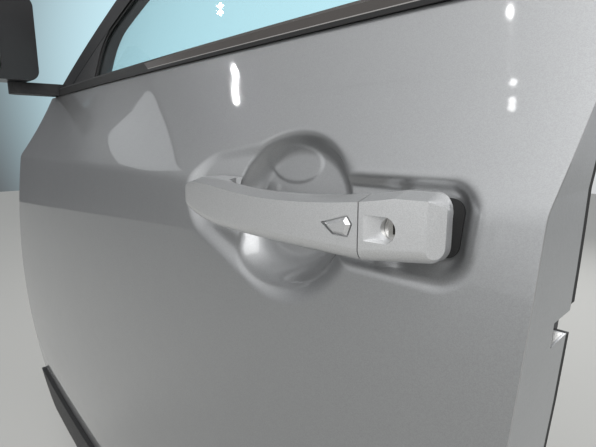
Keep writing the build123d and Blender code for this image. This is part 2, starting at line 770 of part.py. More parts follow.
with BuildPart() as handle_form:
    with BuildSketch(above_handle(-HANDLE_HIGH / 2)):
        with BuildLine():
            face = ThreePointArc((0, 0), (FACE_MIDDLE_X, -FACE_BULGE), (FACE_END_X, FACE_END_Y))
            nose = TangentArc(face @ 0, (TIP_X, TIP_Y), tangent=face % 0 * -1)
            Polyline(
                nose @ 1, (TIP_X, FOOT_Y), (CAP_END_X, FOOT_Y), (CAP_END_X, CAP_END_Y), face @ 1
            )
        make_face()
    extrude(amount=HANDLE_HIGH)
    with BuildSketch(beside_handle(MOUTH)) as outline:
        with BuildLine():
            swell = ThreePointArc((TIP_X, 0), (-9, 10), (SWELL_X, SWELL_Z))
            waist = TangentArc(swell @ 1, (WAIST_X, WAIST_Z), tangent=swell % 1)
            rise = TangentArc(waist @ 1, (TOP_X, TOP_Z), tangent=waist % 1)
            Polyline(
                rise @ 1,
                (CAP_END_X, TOP_Z),
                (CAP_END_X, CAP_LOW_Z),
                (GRIP_END_X, UNDER_Z),
                (UNDER_X, UNDER_Z),
            )
            under = ThreePointArc((UNDER_X, UNDER_Z), (24, -17.4), (-4, -12))
            TangentArc(under @ 1, (TIP_X, 0), tangent=under % 1)
        make_face()
        fillet(outline.vertices().sort_by(Axis.X)[-2:], radius=CAP_CORNER)
    extrude(amount=2 * MOUTH, mode=Mode.INTERSECT)
    front = handle_form.faces().filter_by(GeomType.CYLINDER).sort_by(SortBy.AREA)[-1]
    top = [
        edge
        for edge in front.edges()
        if edge.center().Z > HANDLE_Z + TOP_Z / 3 and edge.center().X < HANDLE_X + CAP_END_X - 2
    ]
    chamfer(top, length=TOP_BEVEL, length2=TOP_BEVEL_DEPTH, reference=front)
    front = handle_form.faces().filter_by(GeomType.CYLINDER).sort_by(SortBy.AREA)[-1]
    low = [
        edge
        for edge in front.edges()
        if edge.center().Z < HANDLE_Z - TOP_Z / 3 and edge.center().X < HANDLE_X + CAP_END_X - 2
    ]
    fillet(low, radius=UNDER_R)

# Everything in front of the gap between grip and cap.
GRIP_SIDE = block(
    HANDLE_X - MOUTH, HANDLE_X + GRIP_END_X, HANDLE_Y - MOUTH, HANDLE_Y + MOUTH,
    HANDLE_Z - MOUTH, HANDLE_Z + MOUTH,
)

# The unlock button: a wedge with bevelled sides in its own recess near the grip's end.
BUTTON_OUTLINE = ((166, 0.1), (183, 5.5), (186, 1.6), (183.4, -5.2), (173.4, -5.1))
BUTTON_FACE_Y = -8.0
BUTTON_GAP = 0.8
BUTTON_DEPTH = 2.6
BUTTON_PROUD = 1.8
BUTTON_DRAFT = 45.0


def button_outline(grow):
    """The button's five-sided outline on the face of the grip."""
    with BuildSketch(Plane.XY, mode=Mode.PRIVATE) as outline:
        with BuildLine():
            Polyline(*BUTTON_OUTLINE, close=True)
        make_face()
        if grow:
            offset(amount=grow, kind=Kind.INTERSECTION, mode=Mode.REPLACE)
    return outline.sketch


FOOT_CLEARANCE = 3.2
HOOK_FRONT = -4.0
HOOK_REAR = 14.0
HOOK_ROOT_Y = 20.0

with BuildPart() as grip:
    add(handle_form.part)
    add(GRIP_SIDE, mode=Mode.INTERSECT)
    add(ramp_floor(-FOOT_CLEARANCE), mode=Mode.SUBTRACT)
    with BuildSketch(above_handle(-MOUTH)):
        with BuildLine():
            Polyline(
                (FOOT_END_X, MOUTH),
                (FOOT_END_X, FOOT_Y - 10),
                (FOOT_END_X + 6, BACK_Y + 9),
                (BACK_START_X, BACK_Y),
                (GRIP_END_X + 5, BACK_Y),
                (GRIP_END_X + 5, MOUTH),
                close=True,
            )
        make_face()
    extrude(amount=2 * MOUTH, mode=Mode.SUBTRACT)
    with BuildSketch(above_handle(-EYE_HALF)):
        with BuildLine():
            Polyline(
                (PIVOT_X, PIVOT_Y - 4),
                (HOOK_FRONT, PIVOT_Y - 8),
                (HOOK_FRONT, HOOK_ROOT_Y),
                (HOOK_REAR, HOOK_ROOT_Y),
                (HOOK_REAR, PIVOT_Y - 4),
                (0, PIVOT_Y + 5),
                (PIVOT_X, PIVOT_Y + 5),
                close=True,
            )
        make_face()
        with Locations((PIVOT_X, PIVOT_Y)):
            Circle(EYE_R)
    extrude(amount=2 * EYE_HALF)
    with BuildSketch(above_handle(-EYE_HALF)):
        with Locations((PIVOT_X, PIVOT_Y)):
            Circle(HANDLE_PIN_R + HANDLE_PIN_CLEARANCE)
    extrude(amount=2 * EYE_HALF, mode=Mode.SUBTRACT)
    with BuildSketch(above_handle(-ARM_HALF)):
        with Locations((PIVOT_X, PIVOT_Y)):
            Circle(ARM_OUTER_R)
            Circle(ARM_OUTER_R - ARM, mode=Mode.SUBTRACT)
        with Locations((PIVOT_X + ARM_OUTER_R, (ARM_END_Y + BACK_Y - 1) / 2)):
            Rectangle(ARM_OUTER_R / 3, ARM_END_Y - BACK_Y + 1, mode=Mode.INTERSECT)
    extrude(amount=2 * ARM_HALF)
    with BuildSketch(beside_handle(BUTTON_FACE_Y + BUTTON_DEPTH)):
        add(button_outline(BUTTON_GAP))
    extrude(amount=2 * BUTTON_DEPTH, mode=Mode.SUBTRACT)
grip.part.label = "grip"
export_step(grip.part, "parts/grip.step")

with BuildPart() as unlock_button:
    with BuildSketch(beside_handle(BUTTON_FACE_Y + BUTTON_DEPTH)):
        add(button_outline(0))
    extrude(amount=BUTTON_DEPTH)
    with BuildSketch(beside_handle(BUTTON_FACE_Y)):
        add(button_outline(0))
    extrude(amount=BUTTON_PROUD, taper=BUTTON_DRAFT)
unlock_button.part.label = "unlock_button"
export_step(unlock_button.part, "parts/unlock_button.step")

# Cap: it stands on a foot on the pocket's floor, and a valley leads the key into the cylinder.
CAP_SKIRT_Y = 12.0
CAP_FOOT_X = 212.0
CAP_FOOT_Z = 0.0
CAP_FOOT_LENGTH = 40.0
CAP_FOOT_HEIGHT = 30.0
CAP_FOOT_CORNER = 7.0
HANDLE_SEAL = 1.6
KEY_R = 7.2
KEY_RECESS = 4.0
VALLEY_START_X = 193.0
CAP_SEAT_Y = POCKET_Y - 2 * SEAT - HANDLE_SEAL

with BuildPart() as handle_cap:
    add(handle_form.part)
    add(
        block(
            HANDLE_X + GRIP_END_X + SPLIT, HANDLE_X + CAP_END_X, HANDLE_Y - MOUTH,
            HANDLE_Y + CAP_SKIRT_Y, HANDLE_Z - MOUTH, HANDLE_Z + MOUTH,
        ),
        mode=Mode.INTERSECT,
    )
    with BuildSketch(leaning(POCKET_X, CAP_SEAT_Y, POCKET_Z, POCKET_LEAN)):
        with Locations((CAP_FOOT_X - POCKET_X, CAP_FOOT_Z - POCKET_Z)):
            RectangleRounded(CAP_FOOT_LENGTH, CAP_FOOT_HEIGHT, CAP_FOOT_CORNER)
    extrude(amount=CAP_SEAT_Y - CAP_SKIRT_Y + 4)
    with BuildSketch(beside_handle(MOUTH)):
        with Locations((KEY_X, KEY_Z)):
            Circle(KEY_R)
    extrude(amount=2 * MOUTH, mode=Mode.SUBTRACT)
    with BuildSketch(above_handle(KEY_Z - KEY_R)):
        with BuildLine():
            Polyline(
                (VALLEY_START_X, -FACE_BULGE),
                (VALLEY_START_X, BUTTON_FACE_Y),
                (KEY_X - KEY_R / 2, KEY_RECESS),
                (KEY_X, KEY_RECESS),
                (KEY_X, -FACE_BULGE),
                close=True,
            )
        make_face()
    extrude(amount=2 * KEY_R, mode=Mode.SUBTRACT)
handle_cap.part.label = "handle_cap"
export_step(handle_cap.part, "parts/handle_cap.step")

KEY_END_Y = 50.0
KEYWAY = 5.5
KEYWAY_WIDTH = 1.6

with BuildPart() as key_cylinder:
    with BuildSketch(beside_handle(KEY_END_Y)):
        with Locations((KEY_X, KEY_Z)):
            Circle(KEY_R - SEAT)
    extrude(amount=KEY_END_Y - KEY_RECESS)
    with BuildSketch(beside_handle(KEY_RECESS)):
        with Locations((KEY_X, KEY_Z)):
            SlotCenterToCenter(KEYWAY, KEYWAY_WIDTH, rotation=90)
    extrude(amount=-KEYWAY, mode=Mode.SUBTRACT)
key_cylinder.part.label = "key_cylinder"
export_step(key_cylinder.part, "parts/key_cylinder.step")

# Rubber seals under the cap's foot and under the grip's.
SEAL_MARGIN = 1.5
FRONT_SEAL = 1.2

with BuildPart() as handle_rear_seal:
    with BuildSketch(leaning(POCKET_X, POCKET_Y - SEAT, POCKET_Z, POCKET_LEAN)):
        with Locations((CAP_FOOT_X - POCKET_X, CAP_FOOT_Z - POCKET_Z)):
            RectangleRounded(
                CAP_FOOT_LENGTH + 2 * SEAL_MARGIN,
                CAP_FOOT_HEIGHT + 2 * SEAL_MARGIN,
                CAP_FOOT_CORNER + SEAL_MARGIN,
            )
    extrude(amount=HANDLE_SEAL)
    add(cup_holes(("arm", "key")), mode=Mode.SUBTRACT)
handle_rear_seal.part.label = "handle_rear_seal"
export_step(handle_rear_seal.part, "parts/handle_rear_seal.step")

with BuildPart() as handle_front_seal:
    add(sheet(ramp_floor(-SEAT - FRONT_SEAL), ramp_floor(-SEAT)))
    with BuildSketch(beside_handle(MOUTH)):
        with Locations((FOOT_HOLE_X, 0)):
            RectangleRounded(
                FOOT_HOLE_LENGTH + 10 * SEAL_MARGIN, FOOT_HOLE_HEIGHT + 4 * SEAL_MARGIN, 9
            )
    extrude(amount=2 * MOUTH, mode=Mode.INTERSECT)
    add(cup_holes(("foot",)), mode=Mode.SUBTRACT)
handle_front_seal.part.label = "handle_front_seal"
export_step(handle_front_seal.part, "parts/handle_front_seal.step")

# Bracket behind the skin: it carries the grip's pin and, through the skin, the cap's foot.
BRACKET_Y = 51.0
BRACKET = 3.0
BRACKET_TOP = -13.0
BRACKET_LOW = -36.0
BRACKET_FRONT = -24.0
BRACKET_REAR = 236.0
BRACKET_CORNER = 5.0
PLATE_MIDDLE_Z = -10.0
PLATE_HEIGHT = 46.0
EYE_PLATE = 18.0
KEY_PLATE = 30.0
EAR = 4.0
EAR_LENGTH = 14.0
EAR_GAP = 0.4
EAR_RISE = 6.0
BOSS_R = KEY_HOLE_R - 1.0

with BuildPart() as cap_boss:
    with BuildSketch(beside_handle(BRACKET_Y)):
        with Locations((KEY_X, KEY_Z)):
            Circle(BOSS_R)
    extrude(amount=BRACKET_Y - CAP_SEAT_Y + BOSS_R)
    with BuildSketch(leaning(POCKET_X, CAP_SEAT_Y + SEAT, POCKET_Z, POCKET_LEAN)):
        with Locations((KEY_X - POCKET_X, KEY_Z - POCKET_Z)):
            Rectangle(4 * BOSS_R, 4 * BOSS_R)
    extrude(amount=4 * BOSS_R, mode=Mode.SUBTRACT)

with BuildPart() as handle_bracket:
    with BuildSketch(beside_handle(BRACKET_Y + BRACKET)):
        with Locations(((BRACKET_FRONT + BRACKET_REAR) / 2, (BRACKET_TOP + BRACKET_LOW) / 2)):
            RectangleRounded(
                BRACKET_REAR - BRACKET_FRONT, BRACKET_TOP - BRACKET_LOW, BRACKET_CORNER
            )
        with Locations((PIVOT_X - 1, PLATE_MIDDLE_Z)):
            Rectangle(EYE_PLATE, PLATE_HEIGHT)
        with Locations((KEY_X, PLATE_MIDDLE_Z)):
            Rectangle(KEY_PLATE, PLATE_HEIGHT)
    extrude(amount=BRACKET)
    for side in (-1, 1):
        with BuildSketch(above_handle(side * (EYE_HALF + EAR_GAP))):
            with Locations((PIVOT_X - 1, (PIVOT_Y - EAR_RISE + BRACKET_Y + BRACKET) / 2)):
                Rectangle(EAR_LENGTH, BRACKET_Y + BRACKET - PIVOT_Y + EAR_RISE)
        extrude(amount=side * EAR)
    with BuildSketch(above_handle(-EYE_HALF - 1)):
        with Locations((PIVOT_X, PIVOT_Y)):
            Circle(HANDLE_PIN_R)
    extrude(amount=2 * EYE_HALF + 2)
    add(cap_boss.part)
    with BuildSketch(beside_handle(MOUTH)):
        with Locations((KEY_X, KEY_Z)):
            Circle(KEY_R)
    extrude(amount=2 * MOUTH, mode=Mode.SUBTRACT)
handle_bracket.part.label = "handle_bracket"
export_step(handle_bracket.part, "parts/handle_bracket.step")

# Mirror: a foot on the window frame's front corner, and a head that folds on a vertical pin.
MIRROR_X = 100.0
MIRROR_Y = -75.0
MIRROR_FOOT_Z = BELT_Z + 1.5
MIRROR_FOOT = 22.0
MIRROR_DISC_R = 20.0
MIRROR_GAP = 0.5
ROOT_FRONT = 85.0
ROOT_REAR = 128.0
ROOT_OUTER_Y = -12.0
HEAD_LOW = MIRROR_FOOT_Z + MIRROR_FOOT + MIRROR_GAP
HEAD_HEIGHT = 156.0
HEAD_INNER_Y = -50.0
HEAD_INNER_FRONT = 60.0
HEAD_INNER_R = 34.0
HEAD_REAR = 148.0
HEAD_OUTER_Y = -302.0
HEAD_OUTER_FRONT = 70.0
HEAD_SPARE = 48.0
HEAD_FRONT_R = 45.0
HEAD_EDGE_R = 20.0
HEAD_WALL = 4.0
HEAD_POST_R = 22.0
GLASS_SINK = 9.0
MIRROR_GLASS = 3.0
MIRROR_GLASS_GAP = 3.0
MIRROR_GLASS_CORNER = 24.0
RIM_INNER_Y = -112.0
RIM_OUTER_Y = HEAD_OUTER_Y + HEAD_WALL
MIRROR_CAVITY = 55.0

with BuildPart() as mirror_base:
    with BuildSketch(Plane.XY.offset(MIRROR_FOOT_Z)):
        with Locations((MIRROR_X, MIRROR_Y)):
            Circle(MIRROR_DISC_R)
        with Locations(((ROOT_FRONT + ROOT_REAR) / 2, ROOT_OUTER_Y)):
            Rectangle(
                ROOT_REAR - ROOT_FRONT, -3 * ROOT_OUTER_Y, align=(Align.CENTER, Align.MIN)
            )
        make_hull()
    extrude(amount=MIRROR_FOOT)
    add(window_side(-FRAME_PROUD - SEAT), mode=Mode.SUBTRACT)
mirror_base.part.label = "mirror_base"
export_step(mirror_base.part, "parts/mirror_base.step")


def rim_outline(inset):
    """The mirror glass's opening, seen from behind."""
    with BuildSketch(Plane.XY, mode=Mode.PRIVATE) as outline:
        with Locations(((RIM_INNER_Y + RIM_OUTER_Y) / 2, HEAD_LOW + HEAD_HEIGHT / 2)):
            RectangleRounded(
                RIM_INNER_Y - RIM_OUTER_Y - 2 * inset,
                HEAD_HEIGHT - 2 * HEAD_WALL - 2 * inset,
                MIRROR_GLASS_CORNER - inset,
            )
    return outline.sketch


with BuildPart() as mirror_housing:
    with BuildSketch(Plane.XY.offset(HEAD_LOW)) as plan:
        with BuildLine():
            Polyline(
                (HEAD_INNER_FRONT, HEAD_INNER_Y),
                (HEAD_REAR + HEAD_SPARE, HEAD_INNER_Y),
                (HEAD_REAR + HEAD_SPARE, HEAD_OUTER_Y),
                (HEAD_OUTER_FRONT, HEAD_OUTER_Y),
                close=True,
            )
        make_face()
        fillet(plan.vertices().group_by(Axis.X)[0], radius=HEAD_INNER_R)
        fillet(plan.vertices().group_by(Axis.Y)[0].sort_by(Axis.X)[0], radius=HEAD_FRONT_R)
    extrude(amount=HEAD_HEIGHT)
    levels = mirror_housing.faces().sort_by(Axis.Z)
    fillet(levels[0].edges() + levels[-1].edges(), radius=HEAD_EDGE_R)
    with BuildSketch(Plane.YZ.offset(HEAD_REAR)):
        Rectangle(8 * FAR, 8 * FAR)
    extrude(amount=2 * HEAD_SPARE, mode=Mode.SUBTRACT)
    with BuildSketch(Plane.YZ.offset(HEAD_REAR)):
        add(rim_outline(0))
    extrude(amount=-MIRROR_CAVITY, mode=Mode.SUBTRACT)
    with BuildSketch(Plane.YZ.offset(HEAD_REAR - MIRROR_CAVITY)):
        with Locations(((RIM_INNER_Y + RIM_OUTER_Y) / 2, HEAD_LOW + HEAD_HEIGHT / 2)):
            Circle(HEAD_POST_R)
    extrude(amount=MIRROR_CAVITY - GLASS_SINK - MIRROR_GLASS - SEAT)
mirror_housing.part.label = "mirror_housing"
export_step(mirror_housing.part, "parts/mirror_housing.step")

with BuildPart() as mirror_glass:
    with BuildSketch(Plane.YZ.offset(HEAD_REAR - GLASS_SINK)):
        add(rim_outline(MIRROR_GLASS_GAP))
    extrude(amount=-MIRROR_GLASS)
mirror_glass.part.label = "mirror_glass"
export_step(mirror_glass.part, "parts/mirror_glass.step")

# Inner trim: a moulded panel on the inner panel's face, with what is fixed to it.
TRIM_INSET = 14.0
TRIM_Y = 58.0
TRIM = 3.0
TRIM_TOP = BELT_Z - 28.5
TRIM_BACK_Y = PAN_INNER_Y + SEAT
BEZEL_X = 540.0
BEZEL_Z = 62.0
BEZEL_LENGTH = 136.0
BEZEL_HEIGHT = 58.0
BEZEL_FLOOR_Y = 38.0
SPEAKER_X = 240.0
SPEAKER_Z = -320.0
SPEAKER_R = 84.0
SPEAKER_LAP = 8.0


def trim_outline(inset):
    """The trim panel's outline inside the inner panel's edge."""
    with BuildSketch(Plane.XY, mode=Mode.PRIVATE) as outline:
        add(pan_outline(TRIM_INSET + inset))
        with Locations((0, TRIM_TOP - inset)):
            Rectangle(10 * FAR, FAR, align=(Align.CENTER, Align.MIN), mode=Mode.SUBTRACT)
    return outline.sketch


with BuildPart() as trim_panel:
    add(prism(trim_outline(0), TRIM_BACK_Y, TRIM_Y))
    add(prism(trim_outline(TRIM), TRIM_BACK_Y - 1, TRIM_Y - TRIM), mode=Mode.SUBTRACT)
    with BuildSketch(Plane.XZ.offset(-TRIM_Y - 5)):
        with Locations((BEZEL_X, BEZEL_Z)):
            RectangleRounded(BEZEL_LENGTH, BEZEL_HEIGHT, 12)
        with Locations((SPEAKER_X, SPEAKER_Z)):
            Circle(SPEAKER_R - SPEAKER_LAP)
    extrude(amount=20, mode=Mode.SUBTRACT)
trim_panel.part.label = "trim_panel"
export_step(trim_panel.part, "parts/trim_panel.step")

UPPER_TRIM_TOP = BELT_Z + 22.5
UPPER_TRIM_DROP = 18.0
UPPER_TRIM_LAP_Y = TRIM_Y + 4.0
UPPER_TRIM_BEND_Y = 19.0
UPPER_TRIM_FRONT = BELT_SLOT_FRONT + 20.0
UPPER_TRIM_REAR = REAR_AT_BELT - FRAME_WIDTH - RUN_LIP - 10.0

# The upper trim stays inboard of the frame, and in the opening it reaches the inner belt seal.
with BuildPart() as upper_trim_room:
    add(window_side(SEAL_BACK + SEAT))
    add(prism(glass_outline(-OPENING_GAP), -FAR, INBOARD), mode=Mode.INTERSECT)
    add(window_side(FRAME_DEPTH - FRAME_PROUD + SEAT))

with BuildPart() as upper_trim:
    with BuildSketch(Plane.YZ.offset(UPPER_TRIM_FRONT)) as trim_section:
        with BuildLine() as trim_line:
            Polyline(
                (-FAR / 3, UPPER_TRIM_TOP),
                (UPPER_TRIM_BEND_Y, UPPER_TRIM_TOP - 1),
                (UPPER_TRIM_LAP_Y, UPPER_TRIM_TOP - UPPER_TRIM_DROP),
                (UPPER_TRIM_LAP_Y, TRIM_TOP + SEAT),
            )
            offset(amount=TRIM, side=Side.RIGHT, closed=True)
        make_face()
    extrude(amount=UPPER_TRIM_REAR - UPPER_TRIM_FRONT)
    add(upper_trim_room.part, mode=Mode.INTERSECT)
upper_trim.part.label = "upper_trim"
export_step(upper_trim.part, "parts/upper_trim.step")

ARM_FRONT = 340.0
ARM_REAR = 930.0
ARM_TOP = -12.0
ARM_LOW = -78.0
ARM_Y = 120.0
PULL_X = 730.0
PULL_LENGTH = 130.0
PULL_DEPTH = 44.0
PULL_Y = 92.0
PULL_WIDTH = 34.0

with BuildPart() as armrest:
    add(block(ARM_FRONT, ARM_REAR, TRIM_Y + SEAT, ARM_Y, ARM_LOW, ARM_TOP))
    fillet(armrest.edges().filter_by(Axis.Z).group_by(Axis.Y)[-1], radius=40)
    with BuildSketch(Plane.XY.offset(ARM_TOP)):
        with Locations((PULL_X, PULL_Y)):
            RectangleRounded(PULL_LENGTH, PULL_WIDTH, 12)
    extrude(amount=-PULL_DEPTH, mode=Mode.SUBTRACT)
armrest.part.label = "armrest"
export_step(armrest.part, "parts/armrest.step")

SWITCH_X = 500.0
SWITCH_LENGTH = 190.0
SWITCH_WIDTH = 44.0
SWITCH_CORNER = 10.0
SWITCH_PLATE = 4.0
KEY_PITCH_X = 46.0
KEY_PITCH_Y = 20.0
KEYCAP_LENGTH = 34.0
KEYCAP_WIDTH = 13.0
KEYCAP_CORNER = 3.0
KEYCAP_RISE = 5.0

with BuildPart() as window_switch_panel:
    with BuildSketch(Plane.XY.offset(ARM_TOP + SEAT)):
        with Locations((SWITCH_X, PULL_Y)):
            RectangleRounded(SWITCH_LENGTH, SWITCH_WIDTH, SWITCH_CORNER)
    extrude(amount=SWITCH_PLATE)
    with BuildSketch(Plane.XY.offset(ARM_TOP + SEAT + SWITCH_PLATE)):
        with Locations((SWITCH_X, PULL_Y)):
            with GridLocations(KEY_PITCH_X, KEY_PITCH_Y, 2, 2):
                RectangleRounded(KEYCAP_LENGTH, KEYCAP_WIDTH, KEYCAP_CORNER)
    extrude(amount=KEYCAP_RISE)
window_switch_panel.part.label = "window_switch_panel"
export_step(window_switch_panel.part, "parts/window_switch_panel.step")

with BuildPart() as inner_handle_bezel:
    with BuildSketch(Plane.XZ.offset(-TRIM_Y - SEAT)):
        with Locations((BEZEL_X, BEZEL_Z)):
            RectangleRounded(BEZEL_LENGTH + 10, BEZEL_HEIGHT + 10, 16)
    extrude(amount=-5)
    with BuildSketch(Plane.XZ.offset(-TRIM_Y - 1)):
        with Locations((BEZEL_X, BEZEL_Z)):
            RectangleRounded(BEZEL_LENGTH - 1, BEZEL_HEIGHT - 1, 12)
    extrude(amount=TRIM_Y + 1 - BEZEL_FLOOR_Y)
    with BuildSketch(Plane.XZ.offset(-BEZEL_FLOOR_Y - 2)):
        with Locations((BEZEL_X, BEZEL_Z)):
            RectangleRounded(BEZEL_LENGTH - 6, BEZEL_HEIGHT - 6, 9)
    extrude(amount=-40, mode=Mode.SUBTRACT)
inner_handle_bezel.part.label = "inner_handle_bezel"
export_step(inner_handle_bezel.part, "parts/inner_handle_bezel.step")

with BuildPart() as inner_handle_lever:
    with BuildSketch(Plane.XZ.offset(-BEZEL_FLOOR_Y - 12)):
        with Locations((BEZEL_X, BEZEL_Z)):
            SlotOverall(104, 26)
    extrude(amount=-9)
    with BuildSketch(Plane.XZ.offset(-BEZEL_FLOOR_Y - 2 - SEAT)):
        with Locations((BEZEL_X - 38, BEZEL_Z)):
            Rectangle(18, 16)
    extrude(amount=-11)
inner_handle_lever.part.label = "inner_handle_lever"
export_step(inner_handle_lever.part, "parts/inner_handle_lever.step")

GRILLE = 4.0
GRILLE_PITCH = 14.0
GRILLE_SLOT = 96.0

with BuildPart() as speaker_grille:
    with BuildSketch(Plane.XZ.offset(-TRIM_Y - SEAT)):
        with Locations((SPEAKER_X, SPEAKER_Z)):
            Circle(SPEAKER_R)
            with GridLocations(GRILLE_PITCH, 0, 9, 1):
                SlotOverall(GRILLE_SLOT, GRILLE_SLOT / 16, rotation=90, mode=Mode.SUBTRACT)
    extrude(amount=-GRILLE)
speaker_grille.part.label = "speaker_grille"
export_step(speaker_grille.part, "parts/speaker_grille.step")

MAP_FRONT = 370.0
MAP_REAR = 960.0
MAP_LOW = -478.0
MAP_TOP = -350.0
MAP_Y = 112.0
MAP_WALL = 4.0
MAP_CORNER = 30.0

with BuildPart() as map_space:
    add(
        block(
            MAP_FRONT + MAP_WALL, MAP_REAR - MAP_WALL, TRIM_Y + MAP_WALL, MAP_Y - MAP_WALL,
            MAP_LOW + MAP_WALL, MAP_TOP + MAP_WALL,
        )
    )
    fillet(map_space.edges().filter_by(Axis.Z).group_by(Axis.Y)[-1], radius=MAP_CORNER - MAP_WALL)

with BuildPart() as map_pocket:
    add(block(MAP_FRONT, MAP_REAR, TRIM_Y + SEAT, MAP_Y, MAP_LOW, MAP_TOP))
    fillet(map_pocket.edges().filter_by(Axis.Z).group_by(Axis.Y)[-1], radius=MAP_CORNER)
    add(map_space.part, mode=Mode.SUBTRACT)
map_pocket.part.label = "map_pocket"
export_step(map_pocket.part, "parts/map_pocket.step")

SEAL_INSET = 1.0
SEAL_WIDTH = 11.0
SEAL_HEIGHT = 12.0
STRIP_FRONT = 140.0
STRIP_REAR = BELT_SLOT_REAR - 20.0
STRIP_TOP = 60.0

with BuildPart() as door_weatherstrip:
    add(prism(pan_outline(SEAL_INSET), TRIM_BACK_Y, TRIM_BACK_Y + SEAL_HEIGHT))
    add(prism(pan_outline(SEAL_INSET + SEAL_WIDTH), 0, FAR), mode=Mode.SUBTRACT)
    add(block(STRIP_FRONT, STRIP_REAR, 0, FAR, STRIP_TOP, FAR), mode=Mode.SUBTRACT)
    add(
        block(
            LATCH_SLOT_X - SEAL_WIDTH, REAR_AT_BELT, 0, FAR,
            LATCH_Z - SEAL_HEIGHT, LATCH_Z + SEAL_HEIGHT,
        ),
        mode=Mode.SUBTRACT,
    )
door_weatherstrip.part.label = "door_weatherstrip"
export_step(door_weatherstrip.part, "parts/door_weatherstrip.step")

FRAME_SEAL = 9.0
FRAME_SEAL_INSET = 4.0
FRAME_SEAL_WIDTH = 11.0
FRAME_SEAL_FOOT = BELT_Z + 28.0

with BuildPart() as frame_seal:
    inner = FRAME_DEPTH - FRAME_PROUD + SEAT
    add(sheet(window_side(inner), window_side(inner + FRAME_SEAL)))
    add(prism(window_outline(FRAME_SEAL_INSET), -FAR, INBOARD), mode=Mode.INTERSECT)
    add(
        prism(window_outline(FRAME_SEAL_INSET + FRAME_SEAL_WIDTH), -FAR, INBOARD),
        mode=Mode.SUBTRACT,
    )
    add(
        block(-FAR, 5 * FAR, -FAR, INBOARD, FRAME_SEAL_FOOT, 3 * FAR),
        mode=Mode.INTERSECT,
    )
frame_seal.part.label = "frame_seal"
export_step(frame_seal.part, "parts/frame_seal.step")
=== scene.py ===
import math

import bmesh
import bpy
from mathutils import Matrix, Vector
from mathutils.bvhtree import BVHTree
from mathutils.geometry import barycentric_transform


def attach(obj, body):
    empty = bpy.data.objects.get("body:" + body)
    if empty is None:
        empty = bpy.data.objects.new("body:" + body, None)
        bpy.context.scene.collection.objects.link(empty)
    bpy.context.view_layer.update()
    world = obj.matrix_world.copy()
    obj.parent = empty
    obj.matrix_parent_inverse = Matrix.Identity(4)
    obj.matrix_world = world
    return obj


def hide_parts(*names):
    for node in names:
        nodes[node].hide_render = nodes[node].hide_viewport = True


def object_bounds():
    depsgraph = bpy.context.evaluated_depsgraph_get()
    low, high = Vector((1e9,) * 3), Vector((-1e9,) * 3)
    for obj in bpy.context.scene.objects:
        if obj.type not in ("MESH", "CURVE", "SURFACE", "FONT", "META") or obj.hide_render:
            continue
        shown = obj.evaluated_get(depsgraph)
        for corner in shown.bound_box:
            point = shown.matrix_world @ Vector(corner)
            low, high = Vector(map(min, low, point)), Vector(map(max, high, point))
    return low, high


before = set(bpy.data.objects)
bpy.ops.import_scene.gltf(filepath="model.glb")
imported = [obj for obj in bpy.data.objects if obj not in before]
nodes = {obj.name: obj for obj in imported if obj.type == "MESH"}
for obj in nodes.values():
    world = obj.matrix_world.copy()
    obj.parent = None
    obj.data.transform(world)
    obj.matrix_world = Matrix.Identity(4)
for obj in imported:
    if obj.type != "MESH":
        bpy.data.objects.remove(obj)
cad_low, cad_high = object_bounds()

# Studio: the door hangs over a wide pale floor. The surround is bright above and behind the
# camera, paler than elsewhere on the door's inner side, and cool in front of the mirror. Soft
# lamps stand overhead, at the rear and inside, and small ones put highlights in the lacquer.
FLOOR_BELOW_DOOR = 0.12
FLOOR_MIDDLE_X = 0.5
FLOOR_SIZE = 14
FLOOR_COLOUR = (0.38, 0.375, 0.36, 1)
FLOOR_ROUGHNESS = 0.9
SURROUND_DIM = (0.085, 0.088, 0.092, 1)
SURROUND_BRIGHT = (0.98, 0.99, 1.0, 1)
SURROUND_STRENGTH = 1.2
BRIGHT_SIDE = (0.25, -0.75, 0.6)
BRIGHT_FADE = (0.05, 0.92)
INNER_SIDE = (0.45, 0.9, 0.0)
INNER_FADE = (-0.35, 0.5)
INNER_SHARE = 0.5
COOL_COLOUR = (0.52, 0.76, 0.84, 1)
COOL_SIDE = (-0.72, 0.68, 0.1)
COOL_FADE = (0.8, 0.97)
HIGHLIGHT_AIM = (0.9, -0.1, 0.12)
HIGHLIGHT_SIZE = (0.028, 0.028)
LAMPS = (
    ("overhead_lamp", (1.6, -0.9, 2.6), (0.9, 0, 0.1), (1.6, 1.6), 30),
    ("highlight_lamp_1", (-0.846, -0.517, 1.205), HIGHLIGHT_AIM, HIGHLIGHT_SIZE, 0.14),
    ("highlight_lamp_2", (-0.832, -0.535, 1.168), HIGHLIGHT_AIM, HIGHLIGHT_SIZE, 0.10),
    ("highlight_lamp_3", (0.314, -0.828, 1.829), HIGHLIGHT_AIM, HIGHLIGHT_SIZE, 0.07),
    ("highlight_lamp_4", (0.345, -0.890, 1.772), HIGHLIGHT_AIM, HIGHLIGHT_SIZE, 0.04),
    ("rear_lamp", (2.3, -1.9, 0.9), (1.0, -0.1, 0.15), (1.2, 1.2), 16),
    ("inside_lamp", (0.2, 2.6, 1.4), (0.6, 0, 0), (2.0, 1.6), 45),
)

bpy.ops.mesh.primitive_plane_add(
    size=FLOOR_SIZE, location=(FLOOR_MIDDLE_X, 0, cad_low[2] - FLOOR_BELOW_DOOR)
)
floor = bpy.context.object
floor.name = "studio_floor"
floor_paint = bpy.data.materials.new("floor_paint")
floor_paint.use_nodes = True
floor_shader = floor_paint.node_tree.nodes["Principled BSDF"]
floor_shader.inputs["Base Color"].default_value = FLOOR_COLOUR
floor_shader.inputs["Roughness"].default_value = FLOOR_ROUGHNESS
floor.data.materials.append(floor_paint)


